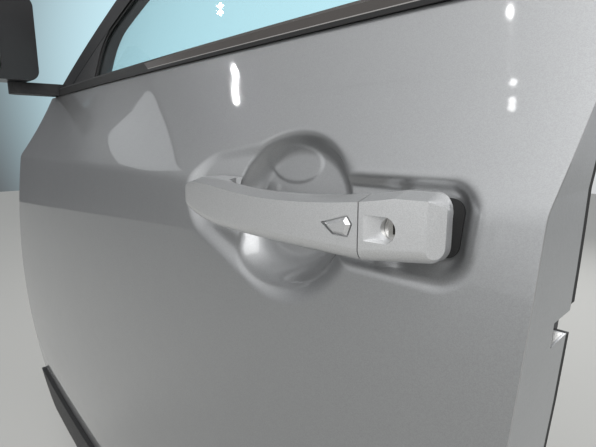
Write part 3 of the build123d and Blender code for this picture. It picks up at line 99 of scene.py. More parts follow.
def add_maths(tree, operation, first, second=0.0):
    """A Math node on two sockets or numbers, and its result."""
    step = tree.nodes.new("ShaderNodeMath")
    step.operation = operation
    for socket, given in zip(step.inputs, (first, second)):
        if isinstance(given, (int, float)):
            socket.default_value = given
        else:
            tree.links.new(given, socket)
    return step.outputs[0]


def add_mix(tree, factor, first, second):
    """A colour mix of two sockets or colours."""
    mix = tree.nodes.new("ShaderNodeMix")
    mix.data_type = "RGBA"
    for socket, given in (("Factor", factor), ("A", first), ("B", second)):
        if isinstance(given, tuple):
            mix.inputs[socket].default_value = given
        else:
            tree.links.new(given, mix.inputs[socket])
    return mix.outputs["Result"]


def add_fade(tree, value, start, end, most=1.0):
    """The value's way from start to end, as 0 to most with soft ends."""
    fade = tree.nodes.new("ShaderNodeMapRange")
    fade.interpolation_type = "SMOOTHSTEP"
    fade.inputs["From Min"].default_value = start
    fade.inputs["From Max"].default_value = end
    fade.inputs["To Max"].default_value = most
    tree.links.new(value, fade.inputs["Value"])
    return fade.outputs["Result"]


world = bpy.data.worlds.new("studio")
bpy.context.scene.world = world
world.use_nodes = True
sky = world.node_tree
sky_place = sky.nodes.new("ShaderNodeTexCoord")


def towards(side, fade, most=1.0):
    """How far a direction of the surround turns to one side, from 0 to most."""
    turn = sky.nodes.new("ShaderNodeVectorMath")
    turn.operation = "DOT_PRODUCT"
    turn.inputs[1].default_value = Vector(side).normalized()
    sky.links.new(sky_place.outputs["Generated"], turn.inputs[0])
    return add_fade(sky, turn.outputs["Value"], *fade, most)


bright_share = add_maths(
    sky, "MAXIMUM", towards(BRIGHT_SIDE, BRIGHT_FADE), towards(INNER_SIDE, INNER_FADE, INNER_SHARE)
)
pale_tone = add_mix(sky, bright_share, SURROUND_DIM, SURROUND_BRIGHT)
sky_tone = add_mix(sky, towards(COOL_SIDE, COOL_FADE), pale_tone, COOL_COLOUR)
sky.links.new(sky_tone, sky.nodes["Background"].inputs["Color"])
sky.nodes["Background"].inputs["Strength"].default_value = SURROUND_STRENGTH

for name, place, target, size, watts in LAMPS:
    light = bpy.data.lights.new(name, "AREA")
    light.shape = "RECTANGLE"
    light.size, light.size_y = size
    light.energy = watts
    lamp = bpy.data.objects.new(name, light)
    lamp.location = place
    lamp.rotation_euler = (Vector(target) - Vector(place)).to_track_quat("-Z", "Y").to_euler()
    bpy.context.scene.collection.objects.link(lamp)

# Camera: it stands behind the handle, a little above it and close to the skin, and looks forward
# along the door. Its lens is a short one, as on a pocket camera.
CAMERA_PLACE = Vector((1.156, -0.324, 0.0677))
CAMERA_RIGHT = Vector((0.695, 0.7187, 0.0)).normalized()
CAMERA_LOOK = Vector((-0.7063, 0.6832, -0.184)).normalized()
CAMERA_LENS = 27.18
CAMERA_SENSOR = 36
CAMERA_NEAREST = 0.01

view = bpy.data.cameras.new("photo_view")
view.lens = CAMERA_LENS
view.sensor_width = CAMERA_SENSOR
view.clip_start = CAMERA_NEAREST
camera = bpy.data.objects.new("photo_view", view)
camera.matrix_world = Matrix.Translation(CAMERA_PLACE) @ Matrix(
    (CAMERA_RIGHT, CAMERA_RIGHT.cross(CAMERA_LOOK), -CAMERA_LOOK)
).transposed().to_4x4()
bpy.context.scene.collection.objects.link(camera)
bpy.context.scene.camera = camera
bpy.context.scene.view_settings.view_transform = "Standard"

# Inner panel: a deep pressing of thin steel that carries the hinges, the latch and the trim. It
# is dipped and sprayed in the body colour with less lacquer than the skin, so it looks duller.
INNER_COLOUR = (0.47, 0.48, 0.49, 1)
FINE_PATCHES = 11.0
FINE_SHARE = 0.35
SLOW_DETAIL = 3.0
SILVER_METALLIC = 0.82


def new_effect(name, sockets_in, sockets_out):
    """An empty node group with named sockets: (its tree, its input node, its output node)."""
    tree = bpy.data.node_groups.new(name, "ShaderNodeTree")
    for socket, kind, value in sockets_in:
        made = tree.interface.new_socket(name=socket, in_out="INPUT", socket_type=kind)
        made.default_value = value
    for socket, kind in sockets_out:
        tree.interface.new_socket(name=socket, in_out="OUTPUT", socket_type=kind)
    return tree, tree.nodes.new("NodeGroupInput"), tree.nodes.new("NodeGroupOutput")


def add_noise(tree, scale, detail=2.0):
    """Noise over the piece's own coordinates, in metres. The scale is a number or a socket."""
    place = tree.nodes.new("ShaderNodeTexCoord")
    noise = tree.nodes.new("ShaderNodeTexNoise")
    noise.inputs["Detail"].default_value = detail
    tree.links.new(place.outputs["Object"], noise.inputs["Vector"])
    if isinstance(scale, (int, float)):
        noise.inputs["Scale"].default_value = scale
    else:
        tree.links.new(scale, noise.inputs["Scale"])
    return noise.outputs["Fac"]


def add_scaled(tree, colour, factor):
    """A colour socket times a number socket."""
    scaled = tree.nodes.new("ShaderNodeVectorMath")
    scaled.operation = "SCALE"
    tree.links.new(colour, scaled.inputs[0])
    tree.links.new(factor, scaled.inputs["Scale"])
    return scaled.outputs[0]


# Uneven tone: every sprayed, moulded or plated surface drifts a little in colour and shine over
# a hand's breadth, and less so over a finger's.
uneven_tone, tone_in, tone_out = new_effect(
    "uneven_tone",
    [
        ("Colour", "NodeSocketColor", (0.5, 0.5, 0.5, 1)),
        ("Darker", "NodeSocketFloat", 0.9),
        ("Patch Scale", "NodeSocketFloat", 6.0),
        ("Roughness", "NodeSocketFloat", 0.5),
        ("Roughness Drift", "NodeSocketFloat", 0.1),
    ],
    [("Colour", "NodeSocketColor"), ("Roughness", "NodeSocketFloat")],
)
slow_patch = add_noise(uneven_tone, tone_in.outputs["Patch Scale"], SLOW_DETAIL)
fine_patch = add_noise(
    uneven_tone, add_maths(uneven_tone, "MULTIPLY", tone_in.outputs["Patch Scale"], FINE_PATCHES)
)
patch = add_maths(
    uneven_tone, "ADD", add_maths(uneven_tone, "MULTIPLY", fine_patch, FINE_SHARE),
    add_maths(uneven_tone, "MULTIPLY", slow_patch, 1 - FINE_SHARE),
)
deep_colour = add_scaled(uneven_tone, tone_in.outputs["Colour"], tone_in.outputs["Darker"])
uneven_tone.links.new(
    add_mix(uneven_tone, patch, tone_in.outputs["Colour"], deep_colour), tone_out.inputs["Colour"]
)
drift = add_maths(
    uneven_tone, "MULTIPLY", add_maths(uneven_tone, "SUBTRACT", patch, 0.5),
    tone_in.outputs["Roughness Drift"],
)
uneven_tone.links.new(
    add_maths(uneven_tone, "ADD", drift, tone_in.outputs["Roughness"]), tone_out.inputs["Roughness"]
)

# Metal flake: thin flakes of aluminium lie at slightly different angles in the base coat, so each
# is a little lighter or darker than the next.
metal_flake, flake_in, flake_out = new_effect(
    "metal_flake",
    [
        ("Colour", "NodeSocketColor", (0.5, 0.5, 0.5, 1)),
        ("Glitter", "NodeSocketFloat", 0.3),
        ("Flake Scale", "NodeSocketFloat", 2600.0),
    ],
    [("Colour", "NodeSocketColor")],
)
flake_place = metal_flake.nodes.new("ShaderNodeTexCoord")
flake_cells = metal_flake.nodes.new("ShaderNodeTexVoronoi")
metal_flake.links.new(flake_place.outputs["Object"], flake_cells.inputs["Vector"])
metal_flake.links.new(flake_in.outputs["Flake Scale"], flake_cells.inputs["Scale"])
flake_tone = metal_flake.nodes.new("ShaderNodeSeparateColor")
metal_flake.links.new(flake_cells.outputs["Color"], flake_tone.inputs["Color"])
glitter = add_maths(
    metal_flake, "MULTIPLY", add_maths(metal_flake, "SUBTRACT", flake_tone.outputs["Red"], 0.5),
    flake_in.outputs["Glitter"],
)
metal_flake.links.new(
    add_scaled(
        metal_flake, flake_in.outputs["Colour"], add_maths(metal_flake, "ADD", glitter, 1.0)
    ),
    flake_out.inputs["Colour"],
)


def place_effect(tree, effect, **values):
    """One of the shared effects in a material. A name's underscores stand for spaces."""
    placed = tree.nodes.new("ShaderNodeGroup")
    placed.node_tree = effect
    for socket, value in values.items():
        placed.inputs[socket.replace("_", " ")].default_value = value
    return placed


def new_finish(
    name, colour, darker, patch_scale, roughness, drift, metallic=0.0, coat=0.0, coat_roughness=0.03
):
    """A material whose colour and roughness drift a little."""
    finish = bpy.data.materials.new(name)
    finish.use_nodes = True
    tree = finish.node_tree
    shader = tree.nodes["Principled BSDF"]
    shader.inputs["Metallic"].default_value = metallic
    shader.inputs["Coat Weight"].default_value = coat
    shader.inputs["Coat Roughness"].default_value = coat_roughness
    tone = place_effect(
        tree, uneven_tone, Colour=colour, Darker=darker, Patch_Scale=patch_scale,
        Roughness=roughness, Roughness_Drift=drift,
    )
    tone.name = "tone"
    tree.links.new(tone.outputs["Colour"], shader.inputs["Base Color"])
    tree.links.new(tone.outputs["Roughness"], shader.inputs["Roughness"])
    return finish


def inside_of(finish):
    """A finish's node tree, its shader and its uneven tone."""
    tree = finish.node_tree
    return tree, tree.nodes["Principled BSDF"], tree.nodes["tone"]


def add_bump(finish, height, depth, strength=1.0):
    """Feeds a height from 0 to 1, worth depth in metres, into the finish's normal."""
    tree, shader, _ = inside_of(finish)
    bump = tree.nodes.new("ShaderNodeBump")
    bump.inputs["Strength"].default_value = strength
    bump.inputs["Distance"].default_value = depth
    tree.links.new(height, bump.inputs["Height"])
    tree.links.new(bump.outputs["Normal"], shader.inputs["Normal"])


def roughen(finish, scale, depth, detail=2.0, strength=1.0):
    """Gives a finish the fine unevenness of its surface: orange peel, casting or mould marks."""
    add_bump(finish, add_noise(finish.node_tree, scale, detail), depth, strength)


def dress(finish, *names):
    """Gives CAD pieces that are carried over their finish."""
    for name in names:
        nodes[name].data.materials.clear()
        nodes[name].data.materials.append(finish)


def sprayed_silver(name, colour, glitter, roughness, coat, coat_roughness):
    """Silver metallic paint: aluminium flakes in a base coat, under a clear lacquer."""
    finish = new_finish(
        name, colour, darker=0.93, patch_scale=5.0, roughness=roughness, drift=0.08,
        metallic=SILVER_METALLIC, coat=coat, coat_roughness=coat_roughness,
    )
    tree, shader, tone = inside_of(finish)
    flake = place_effect(tree, metal_flake, Glitter=glitter)
    tree.links.new(tone.outputs["Colour"], flake.inputs["Colour"])
    tree.links.new(flake.outputs["Colour"], shader.inputs["Base Color"])
    return finish


inner_paint = sprayed_silver(
    "inner_paint", INNER_COLOUR, glitter=0.15, roughness=0.5, coat=0.4, coat_roughness=0.25
)
roughen(inner_paint, scale=260.0, depth=0.00015)
dress(inner_paint, "inner_panel")

# Outer panel: the pressed steel skin, folded round the inner panel's edge, with the handle's cup
# pressed into it. The silver base coat lies under a deep clear lacquer with a faint orange peel.
SKIN_COLOUR = (0.385, 0.39, 0.395, 1)

silver_paint = sprayed_silver(
    "silver_paint", SKIN_COLOUR, glitter=0.16, roughness=0.4, coat=1.0, coat_roughness=0.04
)
roughen(silver_paint, scale=220.0, depth=0.00002)

# Handle cup: the skin round the handle is drawn in again here with the real pressing's full, soft
# shape: a round bowl for the fingers with an oval pad, a teardrop that runs out under the grip's
# nose, and a pocket for the cap. Its floors lie where the CAD cup's do, and all rims are rolled.
CUP_FROM = (0.740, -0.065)
CUP_TO = (1.070, 0.105)
CUP_STEP = 0.00125
CUP_LAP = 0.003
CUP_BEHIND = 0.00004
SKIN_THICKNESS = 0.0008
SKIN_RADIUS = 13.0
SKIN_MIDDLE_X = 1.015
SECTION_FROM = -0.500
SECTION_TO = 0.148
SMOOTH_OVER = 2
OUTSIDE_Y = -1.0
NEAR_SKIN = 0.0004
FACES_OUT = -0.5
HANDLE_X = 0.815
HANDLE_Z = 0.020
RIM_ROLL = 0.010
INNER_ROLL = 0.003
BOWL_CENTRE = (0.093, -0.002)
BOWL_FLOOR = (0.054, 0.047)
BOWL_FLOOR_ROUND = 0.010
BOWL_WALL = 2.05
BOWL_FLOOR_POINTS = ((0.88, 0.0), (0.92, 0.0), (0.90, 0.035))
PAD_CENTRE = (0.0807, 0.0285)
PAD_HALF = (0.028, 0.0145)
PAD_EDGE = 0.07
PAD_RISE = 0.0007
NOSE_CENTRE = (0.008, 0.004)
NOSE_R = 0.028
TAIL_R = 0.044
NOSE_WALL = 1.0
NOSE_FLOOR_ROUND = 0.004
NOSE_FLOOR_POINTS = ((0.800, 0.020), (0.840, 0.005), (0.840, 0.035))
POCKET_CENTRE = (0.1865, 0.0)
POCKET_HALF = (0.0475, 0.020)
POCKET_CORNER = 0.010
POCKET_WALL = 1.5
POCKET_FLOOR_ROUND = 0.003
POCKET_FLOOR_POINTS = ((0.990, 0.0), (1.040, 0.0), (1.040, 0.030))
FOOT_HOLE = ((-0.011, 0.018), (-0.0075, 0.0075))
ARM_HOLE = ((0.1655, 0.1895), (-0.011, 0.011))
KEY_HOLE_CENTRE = (0.2085, 0.0006)
KEY_HOLE_R = 0.014

cad_panel = nodes["outer_panel"].data
cad_skin = BVHTree.FromPolygons(
    [corner.co for corner in cad_panel.vertices], [face.vertices for face in cad_panel.polygons]
)


def cad_depth(x, z):
    """The Y of the CAD skin, seen from outside."""
    return cad_skin.ray_cast(Vector((x, OUTSIDE_Y, z)), Vector((0, 1, 0)))[0].y


section_count = round((SECTION_TO - SECTION_FROM) / CUP_STEP)
sharp_section = [
    cad_depth(CUP_FROM[0], SECTION_FROM + CUP_STEP * number) for number in range(section_count + 1)
]
soft_section = [
    sum(sharp_section[number - SMOOTH_OVER:number + SMOOTH_OVER + 1]) / (2 * SMOOTH_OVER + 1)
    for number in range(SMOOTH_OVER, section_count + 1 - SMOOTH_OVER)
]


def bare_skin(x, z):
    """The Y of the skin without its cup: one upright section, bent round a large circle."""
    upward = (z - SECTION_FROM) / CUP_STEP - SMOOTH_OVER
    number = min(max(int(upward), 0), len(soft_section) - 2)
    section = soft_section[number] + (upward - number) * (
        soft_section[number + 1] - soft_section[number]
    )
    bend = (x - SKIN_MIDDLE_X) ** 2 - (CUP_FROM[0] - SKIN_MIDDLE_X) ** 2
    return section + bend / (2 * SKIN_RADIUS)


def floor_plane(points):
    """The plane through the CAD cup's floor at three points: (the first, slope in X, in Z)."""
    first, second, third = (Vector((x, cad_depth(x, z), z)) for x, z in points)
    normal = (second - first).cross(third - first)
    return first, -normal.x / normal.y, -normal.z / normal.y


def plane_y(plane, x, z):
    """The Y of a floor plane."""
    first, slope_x, slope_z = plane
    return first.y + slope_x * (x - first.x) + slope_z * (z - first.z)


def rolled(lower, upper, roll):
    """The deeper of two surfaces, with the edge between them rounded."""
    near = max(roll - abs(lower - upper), 0) / roll
    return max(lower, upper) + near * near * roll / 4


def wall_rise(away, slope, round_off):
    """How far a drawn wall has risen at a distance from the floor's edge."""
    if away <= -round_off:
        return 0
    if away < round_off:
        return slope * (away + round_off) ** 2 / (4 * round_off)
    return slope * away


def from_bowl(x, z):
    """About how far a point lies outside the ellipse of the bowl's floor, also at its middle."""
    across, up = (x - BOWL_CENTRE[0]) / BOWL_FLOOR[0], (z - BOWL_CENTRE[1]) / BOWL_FLOOR[1]
    reach = math.hypot(across, up)
    steep = math.hypot(across / BOWL_FLOOR[0], up / BOWL_FLOOR[1])
    return reach * (reach - 1) / max(steep, 1e-6)


def from_teardrop(x, z):
    """How far a point lies outside the teardrop from the nose's circle to the tail's."""
    start, end = Vector(NOSE_CENTRE), Vector(BOWL_CENTRE)
    length = (end - start).length
    way = (end - start) / length
    point = Vector((x, z)) - start
    along = point.dot(way)
    across = abs(point.x * way.y - point.y * way.x)
    lean = (NOSE_R - TAIL_R) / length
    upright = math.sqrt(1 - lean * lean)
    past = -lean * across + upright * along
    if past < 0:
        return math.hypot(across, along) - NOSE_R
    if past > upright * length:
        return math.hypot(across, along - length) - TAIL_R
    return upright * across + lean * along - NOSE_R


def from_pocket(x, z):
    """How far a point lies outside the pocket's rounded rectangle."""
    across = abs(x - POCKET_CENTRE[0]) - POCKET_HALF[0] + POCKET_CORNER
    up = abs(z - POCKET_CENTRE[1]) - POCKET_HALF[1] + POCKET_CORNER
    return math.hypot(max(across, 0), max(up, 0)) + min(max(across, up), 0) - POCKET_CORNER


def pad_rise(x, z):
    """How far the oval pad stands out of the bowl's floor."""
    away = math.hypot((x - PAD_CENTRE[0]) / PAD_HALF[0], (z - PAD_CENTRE[1]) / PAD_HALF[1])
    ramp = min(max((1 + PAD_EDGE - away) / (2 * PAD_EDGE), 0), 1)
    return PAD_RISE * ramp * ramp * (3 - 2 * ramp)


def in_cup_hole(x, z):
    """Whether a point lies in the hole for the grip's foot, its arm or the key cylinder."""
    if math.hypot(x - KEY_HOLE_CENTRE[0], z - KEY_HOLE_CENTRE[1]) < KEY_HOLE_R:
        return True
    return any(
        along[0] < x < along[1] and up[0] < z < up[1] for along, up in (FOOT_HOLE, ARM_HOLE)
    )


bowl_floor = floor_plane(BOWL_FLOOR_POINTS)
nose_floor = floor_plane(NOSE_FLOOR_POINTS)
pocket_floor = floor_plane(POCKET_FLOOR_POINTS)
columns = round((CUP_TO[0] - CUP_FROM[0] + 2 * CUP_LAP) / CUP_STEP)
rows = round((CUP_TO[1] - CUP_FROM[1] + 2 * CUP_LAP) / CUP_STEP)
cup_places = []
for column in range(columns + 1):
    x = CUP_FROM[0] - CUP_LAP + CUP_STEP * column
    for row in range(rows + 1):
        z = CUP_FROM[1] - CUP_LAP + CUP_STEP * row
        beside, above = x - HANDLE_X, z - HANDLE_Z
        bowl = plane_y(bowl_floor, x, z) - pad_rise(beside, above) - wall_rise(
            from_bowl(beside, above), BOWL_WALL, BOWL_FLOOR_ROUND
        )
        nose = plane_y(nose_floor, x, z) - wall_rise(
            from_teardrop(beside, above), NOSE_WALL, NOSE_FLOOR_ROUND
        )
        pocket = plane_y(pocket_floor, x, z) - wall_rise(
            from_pocket(beside, above), POCKET_WALL, POCKET_FLOOR_ROUND
        )
        drawn = rolled(rolled(bowl, nose, INNER_ROLL), pocket, INNER_ROLL)
        cup_places.append((x, rolled(bare_skin(x, z) + CUP_BEHIND, drawn, RIM_ROLL), z))
cup_faces = []
for column in range(columns):
    for row in range(rows):
        corner = column * (rows + 1) + row
        x, _, z = cup_places[corner]
        if not in_cup_hole(x + CUP_STEP / 2 - HANDLE_X, z + CUP_STEP / 2 - HANDLE_Z):
            cup_faces.append((corner, corner + rows + 1, corner + rows + 2, corner + 1))
cup_mesh = bpy.data.meshes.new("handle_cup")
cup_mesh.from_pydata(cup_places, [], cup_faces)
cup_mesh.shade_smooth()
cup_mesh.materials.append(silver_paint)
handle_cup = bpy.data.objects.new("handle_cup", cup_mesh)
bpy.context.scene.collection.objects.link(handle_cup)
cup_sheet = handle_cup.modifiers.new("sheet", "SOLIDIFY")
cup_sheet.thickness = SKIN_THICKNESS
cup_sheet.offset = -1
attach(handle_cup, "door")

# Skin round the cup: the CAD skin, cut out where the cup's sheet takes over. Each corner gets the
# skin's true normal again, so that the lacquer's reflections run on over the cut edges.
skin_mesh = bmesh.new()
skin_mesh.from_mesh(cad_panel)
for point, normal in (
    ((CUP_FROM[0], 0, 0), (1, 0, 0)), ((CUP_TO[0], 0, 0), (1, 0, 0)),
    ((0, 0, CUP_FROM[1]), (0, 0, 1)), ((0, 0, CUP_TO[1]), (0, 0, 1)),
):
    bmesh.ops.bisect_plane(
        skin_mesh, geom=skin_mesh.verts[:] + skin_mesh.edges[:] + skin_mesh.faces[:],
        plane_co=point, plane_no=normal,
    )
round_cup = [
    face for face in skin_mesh.faces
    if CUP_FROM[0] < face.calc_center_median().x < CUP_TO[0]
    and CUP_FROM[1] < face.calc_center_median().z < CUP_TO[1]
]
bmesh.ops.delete(skin_mesh, geom=round_cup, context="FACES")
pressed_mesh = bpy.data.meshes.new("outer_skin")
skin_mesh.to_mesh(pressed_mesh)
skin_mesh.free()
cad_normals = [corner.vector.copy() for corner in cad_panel.corner_normals]
section_margin = 2 * SMOOTH_OVER * CUP_STEP
true_normals = []
for face in pressed_mesh.polygons:
    under = cad_panel.polygons[cad_skin.find_nearest(face.center)[2]]
    corners = [cad_panel.vertices[vertex].co for vertex in under.vertices]
    bearings = [cad_normals[corner] for corner in under.loop_indices]
    for vertex in face.vertices:
        spot = pressed_mesh.vertices[vertex].co
        normal = barycentric_transform(spot, *corners, *bearings)
        on_section = SECTION_FROM + section_margin < spot.z < SECTION_TO - section_margin
        on_skin = on_section and abs(spot.y - bare_skin(spot.x, spot.z)) < NEAR_SKIN
        if on_skin and normal.y < FACES_OUT:
            along = bare_skin(spot.x + CUP_STEP, spot.z) - bare_skin(spot.x - CUP_STEP, spot.z)
            up = bare_skin(spot.x, spot.z + CUP_STEP) - bare_skin(spot.x, spot.z - CUP_STEP)
            normal = Vector((along, -2 * CUP_STEP, up))
        true_normals.append(normal.normalized())
pressed_mesh.normals_split_custom_set(true_normals)
pressed_mesh.materials.append(silver_paint)
outer_skin = bpy.data.objects.new("outer_skin", pressed_mesh)
bpy.context.scene.collection.objects.link(outer_skin)
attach(outer_skin, "door")
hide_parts("outer_panel")

# Hinges: forged steel leaves on a steel pin, bolted to the pillar and to the door's front wall,
# then sprayed with the body. The forging's skin still shows as a coarse unevenness.
HINGE_COLOUR = (0.44, 0.45, 0.46, 1)

hinge_paint = sprayed_silver(
    "hinge_paint", HINGE_COLOUR, glitter=0.1, roughness=0.48, coat=0.3, coat_roughness=0.3
)
roughen(hinge_paint, scale=420.0, depth=0.0003, detail=4.0)
dress(
    hinge_paint, "upper_hinge_pillar_leaf", "lower_hinge_pillar_leaf", "upper_hinge_door_leaf",
    "lower_hinge_door_leaf",
)

# Hinge bolts: two bolts with hexagon heads on round flanges, cold-headed in steel and plated a
# dull yellow, hold each door leaf to the door's front wall.
BOLT_COLOUR = (0.42, 0.40, 0.34, 1)
LEAF_FACE_X = 0.0500
BOLT_Y = -0.022
BOLT_HEIGHTS = (-0.36, -0.32, -0.02, 0.02)
FLANGE_R = 0.0085
FLANGE_TOP_R = 0.9 * FLANGE_R
FLANGE_THICKNESS = 0.0018
FLANGE_SIDES = 32
HEAD_SIDES = 6
HEAD_R = 0.0066
HEAD_TOP_R = 0.8 * HEAD_R
HEAD_HEIGHT = 0.0060
CHAMFER_HEIGHT = 0.85 * HEAD_HEIGHT

bolt_steel = new_finish(
    "bolt_steel", BOLT_COLOUR, darker=0.7, patch_scale=120.0, roughness=0.4, drift=0.2, metallic=1.0
)
roughen(bolt_steel, scale=1500.0, depth=0.00005)
bolt_heads = bmesh.new()
for height in BOLT_HEIGHTS:
    for sides, wide, narrow, low, high in (
        (FLANGE_SIDES, FLANGE_R, FLANGE_TOP_R, 0, FLANGE_THICKNESS),
        (HEAD_SIDES, HEAD_R, HEAD_R, FLANGE_THICKNESS, CHAMFER_HEIGHT),
        (HEAD_SIDES, HEAD_R, HEAD_TOP_R, CHAMFER_HEIGHT, HEAD_HEIGHT),
    ):
        bmesh.ops.create_cone(
            bolt_heads, cap_ends=True, segments=sides, radius1=wide, radius2=narrow,
            depth=high - low,
            matrix=Matrix.Translation((LEAF_FACE_X - (low + high) / 2, BOLT_Y, height))
            @ Matrix.Rotation(-math.pi / 2, 4, "Y"),
        )
bolt_mesh = bpy.data.meshes.new("hinge_bolts")
bolt_heads.to_mesh(bolt_mesh)
bolt_heads.free()
bolt_mesh.materials.append(bolt_steel)
hinge_bolts = bpy.data.objects.new("hinge_bolts", bolt_mesh)
bpy.context.scene.collection.objects.link(hinge_bolts)
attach(hinge_bolts, "door")

# Latch: a case pressed in steel and zinc-plated, screwed behind the rear wall, with the slot in
# which the striker is caught.
LATCH_COLOUR = (0.56, 0.56, 0.55, 1)

latch_steel = new_finish(
    "latch_steel", LATCH_COLOUR, darker=0.7, patch_scale=40.0, roughness=0.36, drift=0.2,
    metallic=1.0,
)
roughen(latch_steel, scale=900.0, depth=0.0001)
dress(latch_steel, "latch")

# Window frame: a roll-formed steel sash, sprayed satin black after the body colour. The mirror's
# housing and the switch plate are moulded in a plastic of the same black.
SATIN_COLOUR = (0.010, 0.010, 0.011, 1)


def satin_black(name, roughness, coat):
    """Black paint or plastic with an even satin shine."""
    finish = new_finish(
        name, SATIN_COLOUR, darker=0.75, patch_scale=12.0, roughness=roughness, drift=0.12,
        coat=coat, coat_roughness=0.2,
    )
    roughen(finish, scale=700.0, depth=0.00006)
    return finish


dress(satin_black("sash_paint", roughness=0.5, coat=0.1), "window_frame")

# Rubber seals: the run in which the glass slides, the inner belt lip, the two gaskets under the
# handle and the hollow weatherstrips are extruded or moulded in matt black rubber.
RUBBER_COLOUR = (0.012, 0.012, 0.012, 1)

rubber = new_finish(
    "rubber", RUBBER_COLOUR, darker=0.6, patch_scale=25.0, roughness=0.72, drift=0.25
)
roughen(rubber, scale=1200.0, depth=0.0001, detail=3.0)
dress(
    rubber, "glass_run_seal", "inner_belt_seal", "handle_rear_seal", "handle_front_seal",
    "door_weatherstrip", "frame_seal",
)

# Door glass: a single toughened pane with a faint green tint, polished on both faces and curved
# like the skin. A little dust and dried water dulls it in patches.
GLASS_COLOUR = (0.80, 0.93, 0.94, 1)
GLASS_IOR = 1.45

tinted_glass = new_finish(
    "tinted_glass", GLASS_COLOUR, darker=0.97, patch_scale=4.0, roughness=0.015, drift=0.02
)
_, glass_shader, _ = inside_of(tinted_glass)
glass_shader.inputs["Transmission Weight"].default_value = 1.0
glass_shader.inputs["IOR"].default_value = GLASS_IOR
roughen(tinted_glass, scale=3.0, depth=0.0002, strength=0.3)
dress(tinted_glass, "door_glass")

# Outer belt moulding: a rolled strip in dark bronze-grey over a black rubber lip, which wipes the
# glass. The strip's colour stops at the line where the rubber starts, and a thin painted highlight
# runs along that line.
STRIP_COLOUR = (0.066, 0.058, 0.053, 1)
# Painted highlight: a thin band just above the rubber is coloured light, standing in for light on
# the edge.
STRIP_HIGHLIGHT_COLOUR = (0.30, 0.29, 0.28, 1)
STRIP_HIGHLIGHT_HEIGHT = 0.0008
LIP_BEHIND_Y = -0.0356
LIP_DULLER = 0.3
FOOT_TOP_Z = 0.1584

belt_trim = new_finish(
    "belt_trim", STRIP_COLOUR, darker=0.85, patch_scale=20.0, roughness=0.4, drift=0.15,
    coat=0.15, coat_roughness=0.3,
)
belt_tree, belt_shader, belt_tone = inside_of(belt_trim)
belt_place = belt_tree.nodes.new("ShaderNodeTexCoord")
belt_axes = belt_tree.nodes.new("ShaderNodeSeparateXYZ")
belt_tree.links.new(belt_place.outputs["Object"], belt_axes.inputs[0])
belt_lip = add_maths(
    belt_tree, "MAXIMUM",
    add_maths(belt_tree, "GREATER_THAN", belt_axes.outputs["Y"], LIP_BEHIND_Y),
    add_maths(belt_tree, "LESS_THAN", belt_axes.outputs["Z"], FOOT_TOP_Z),
)
# The band just above the rubber line is the painted highlight.
painted_highlight_band = add_maths(belt_tree, "LESS_THAN", belt_axes.outputs["Z"], FOOT_TOP_Z + STRIP_HIGHLIGHT_HEIGHT)
strip_tone_and_highlight = add_mix(belt_tree, painted_highlight_band, belt_tone.outputs["Colour"], STRIP_HIGHLIGHT_COLOUR)
belt_tree.links.new(
    add_mix(belt_tree, belt_lip, strip_tone_and_highlight, RUBBER_COLOUR), belt_shader.inputs["Base Color"]
)
lip_roughness = add_maths(belt_tree, "MULTIPLY", belt_lip, LIP_DULLER)
belt_tree.links.new(
    add_maths(belt_tree, "ADD", belt_tone.outputs["Roughness"], lip_roughness),
    belt_shader.inputs["Roughness"],
)
roughen(belt_trim, scale=900.0, depth=0.00005)
dress(belt_trim, "outer_belt_moulding")

# Grained plastic: the sail panel in the window's front corner, the lower cladding, the mirror's
# foot and the speaker grille are moulded in black plastic with a fine leather grain.
PLASTIC_COLOUR = (0.022, 0.022, 0.023, 1)
GRAIN_HILL = 0.3
# Painted shade: the grain's valleys are coloured darker, standing in for the shade that falls in
# them.
VALLEY_SHADE = 0.6

leather_grain_and_shade, grain_in, grain_out = new_effect(
    "leather_grain_and_shade",
    [("Grain Scale", "NodeSocketFloat", 900.0)],
    [("Height", "NodeSocketFloat"), ("Valley Shade", "NodeSocketFloat")],
)
grain_place = leather_grain_and_shade.nodes.new("ShaderNodeTexCoord")
grain_cells = leather_grain_and_shade.nodes.new("ShaderNodeTexVoronoi")
grain_cells.feature = "DISTANCE_TO_EDGE"
leather_grain_and_shade.links.new(grain_place.outputs["Object"], grain_cells.inputs["Vector"])
leather_grain_and_shade.links.new(grain_in.outputs["Grain Scale"], grain_cells.inputs["Scale"])
grain_hill = add_fade(leather_grain_and_shade, grain_cells.outputs["Distance"], 0.0, GRAIN_HILL)
leather_grain_and_shade.links.new(grain_hill, grain_out.inputs["Height"])
leather_grain_and_shade.links.new(
    add_maths(leather_grain_and_shade, "SUBTRACT", 1.0, grain_hill), grain_out.inputs["Valley Shade"]
)


def grained(name, colour, roughness, grain_scale, grain_depth):
    """A moulded plastic with a bumped grain, and painted shade in the valleys between its hills."""
    finish = new_finish(
        name, colour, darker=0.8, patch_scale=9.0, roughness=roughness, drift=0.15
    )
    tree, shader, tone = inside_of(finish)
    grain = place_effect(tree, leather_grain_and_shade, Grain_Scale=grain_scale)
    # The valleys get painted shade, a darker copy of the plastic's colour.
    valley_shade_colour = tuple(VALLEY_SHADE * part for part in colour[:3]) + (1,)
    tree.links.new(
        add_mix(tree, grain.outputs["Valley Shade"], tone.outputs["Colour"], valley_shade_colour),
        shader.inputs["Base Color"],
    )
    add_bump(finish, grain.outputs["Height"], grain_depth)
    return finish


grained_plastic = grained(
    "grained_plastic", PLASTIC_COLOUR, roughness=0.55, grain_scale=900.0, grain_depth=0.00012
)
dress(grained_plastic, "sail_panel", "lower_cladding", "mirror_base", "speaker_grille")

# Handle bracket: a frame moulded in glass-filled nylon, screwed behind the skin. It holds the
# grip's pin and spring, and its glass fibres leave a fine matt surface.
BRACKET_COLOUR = (0.03, 0.03, 0.03, 1)

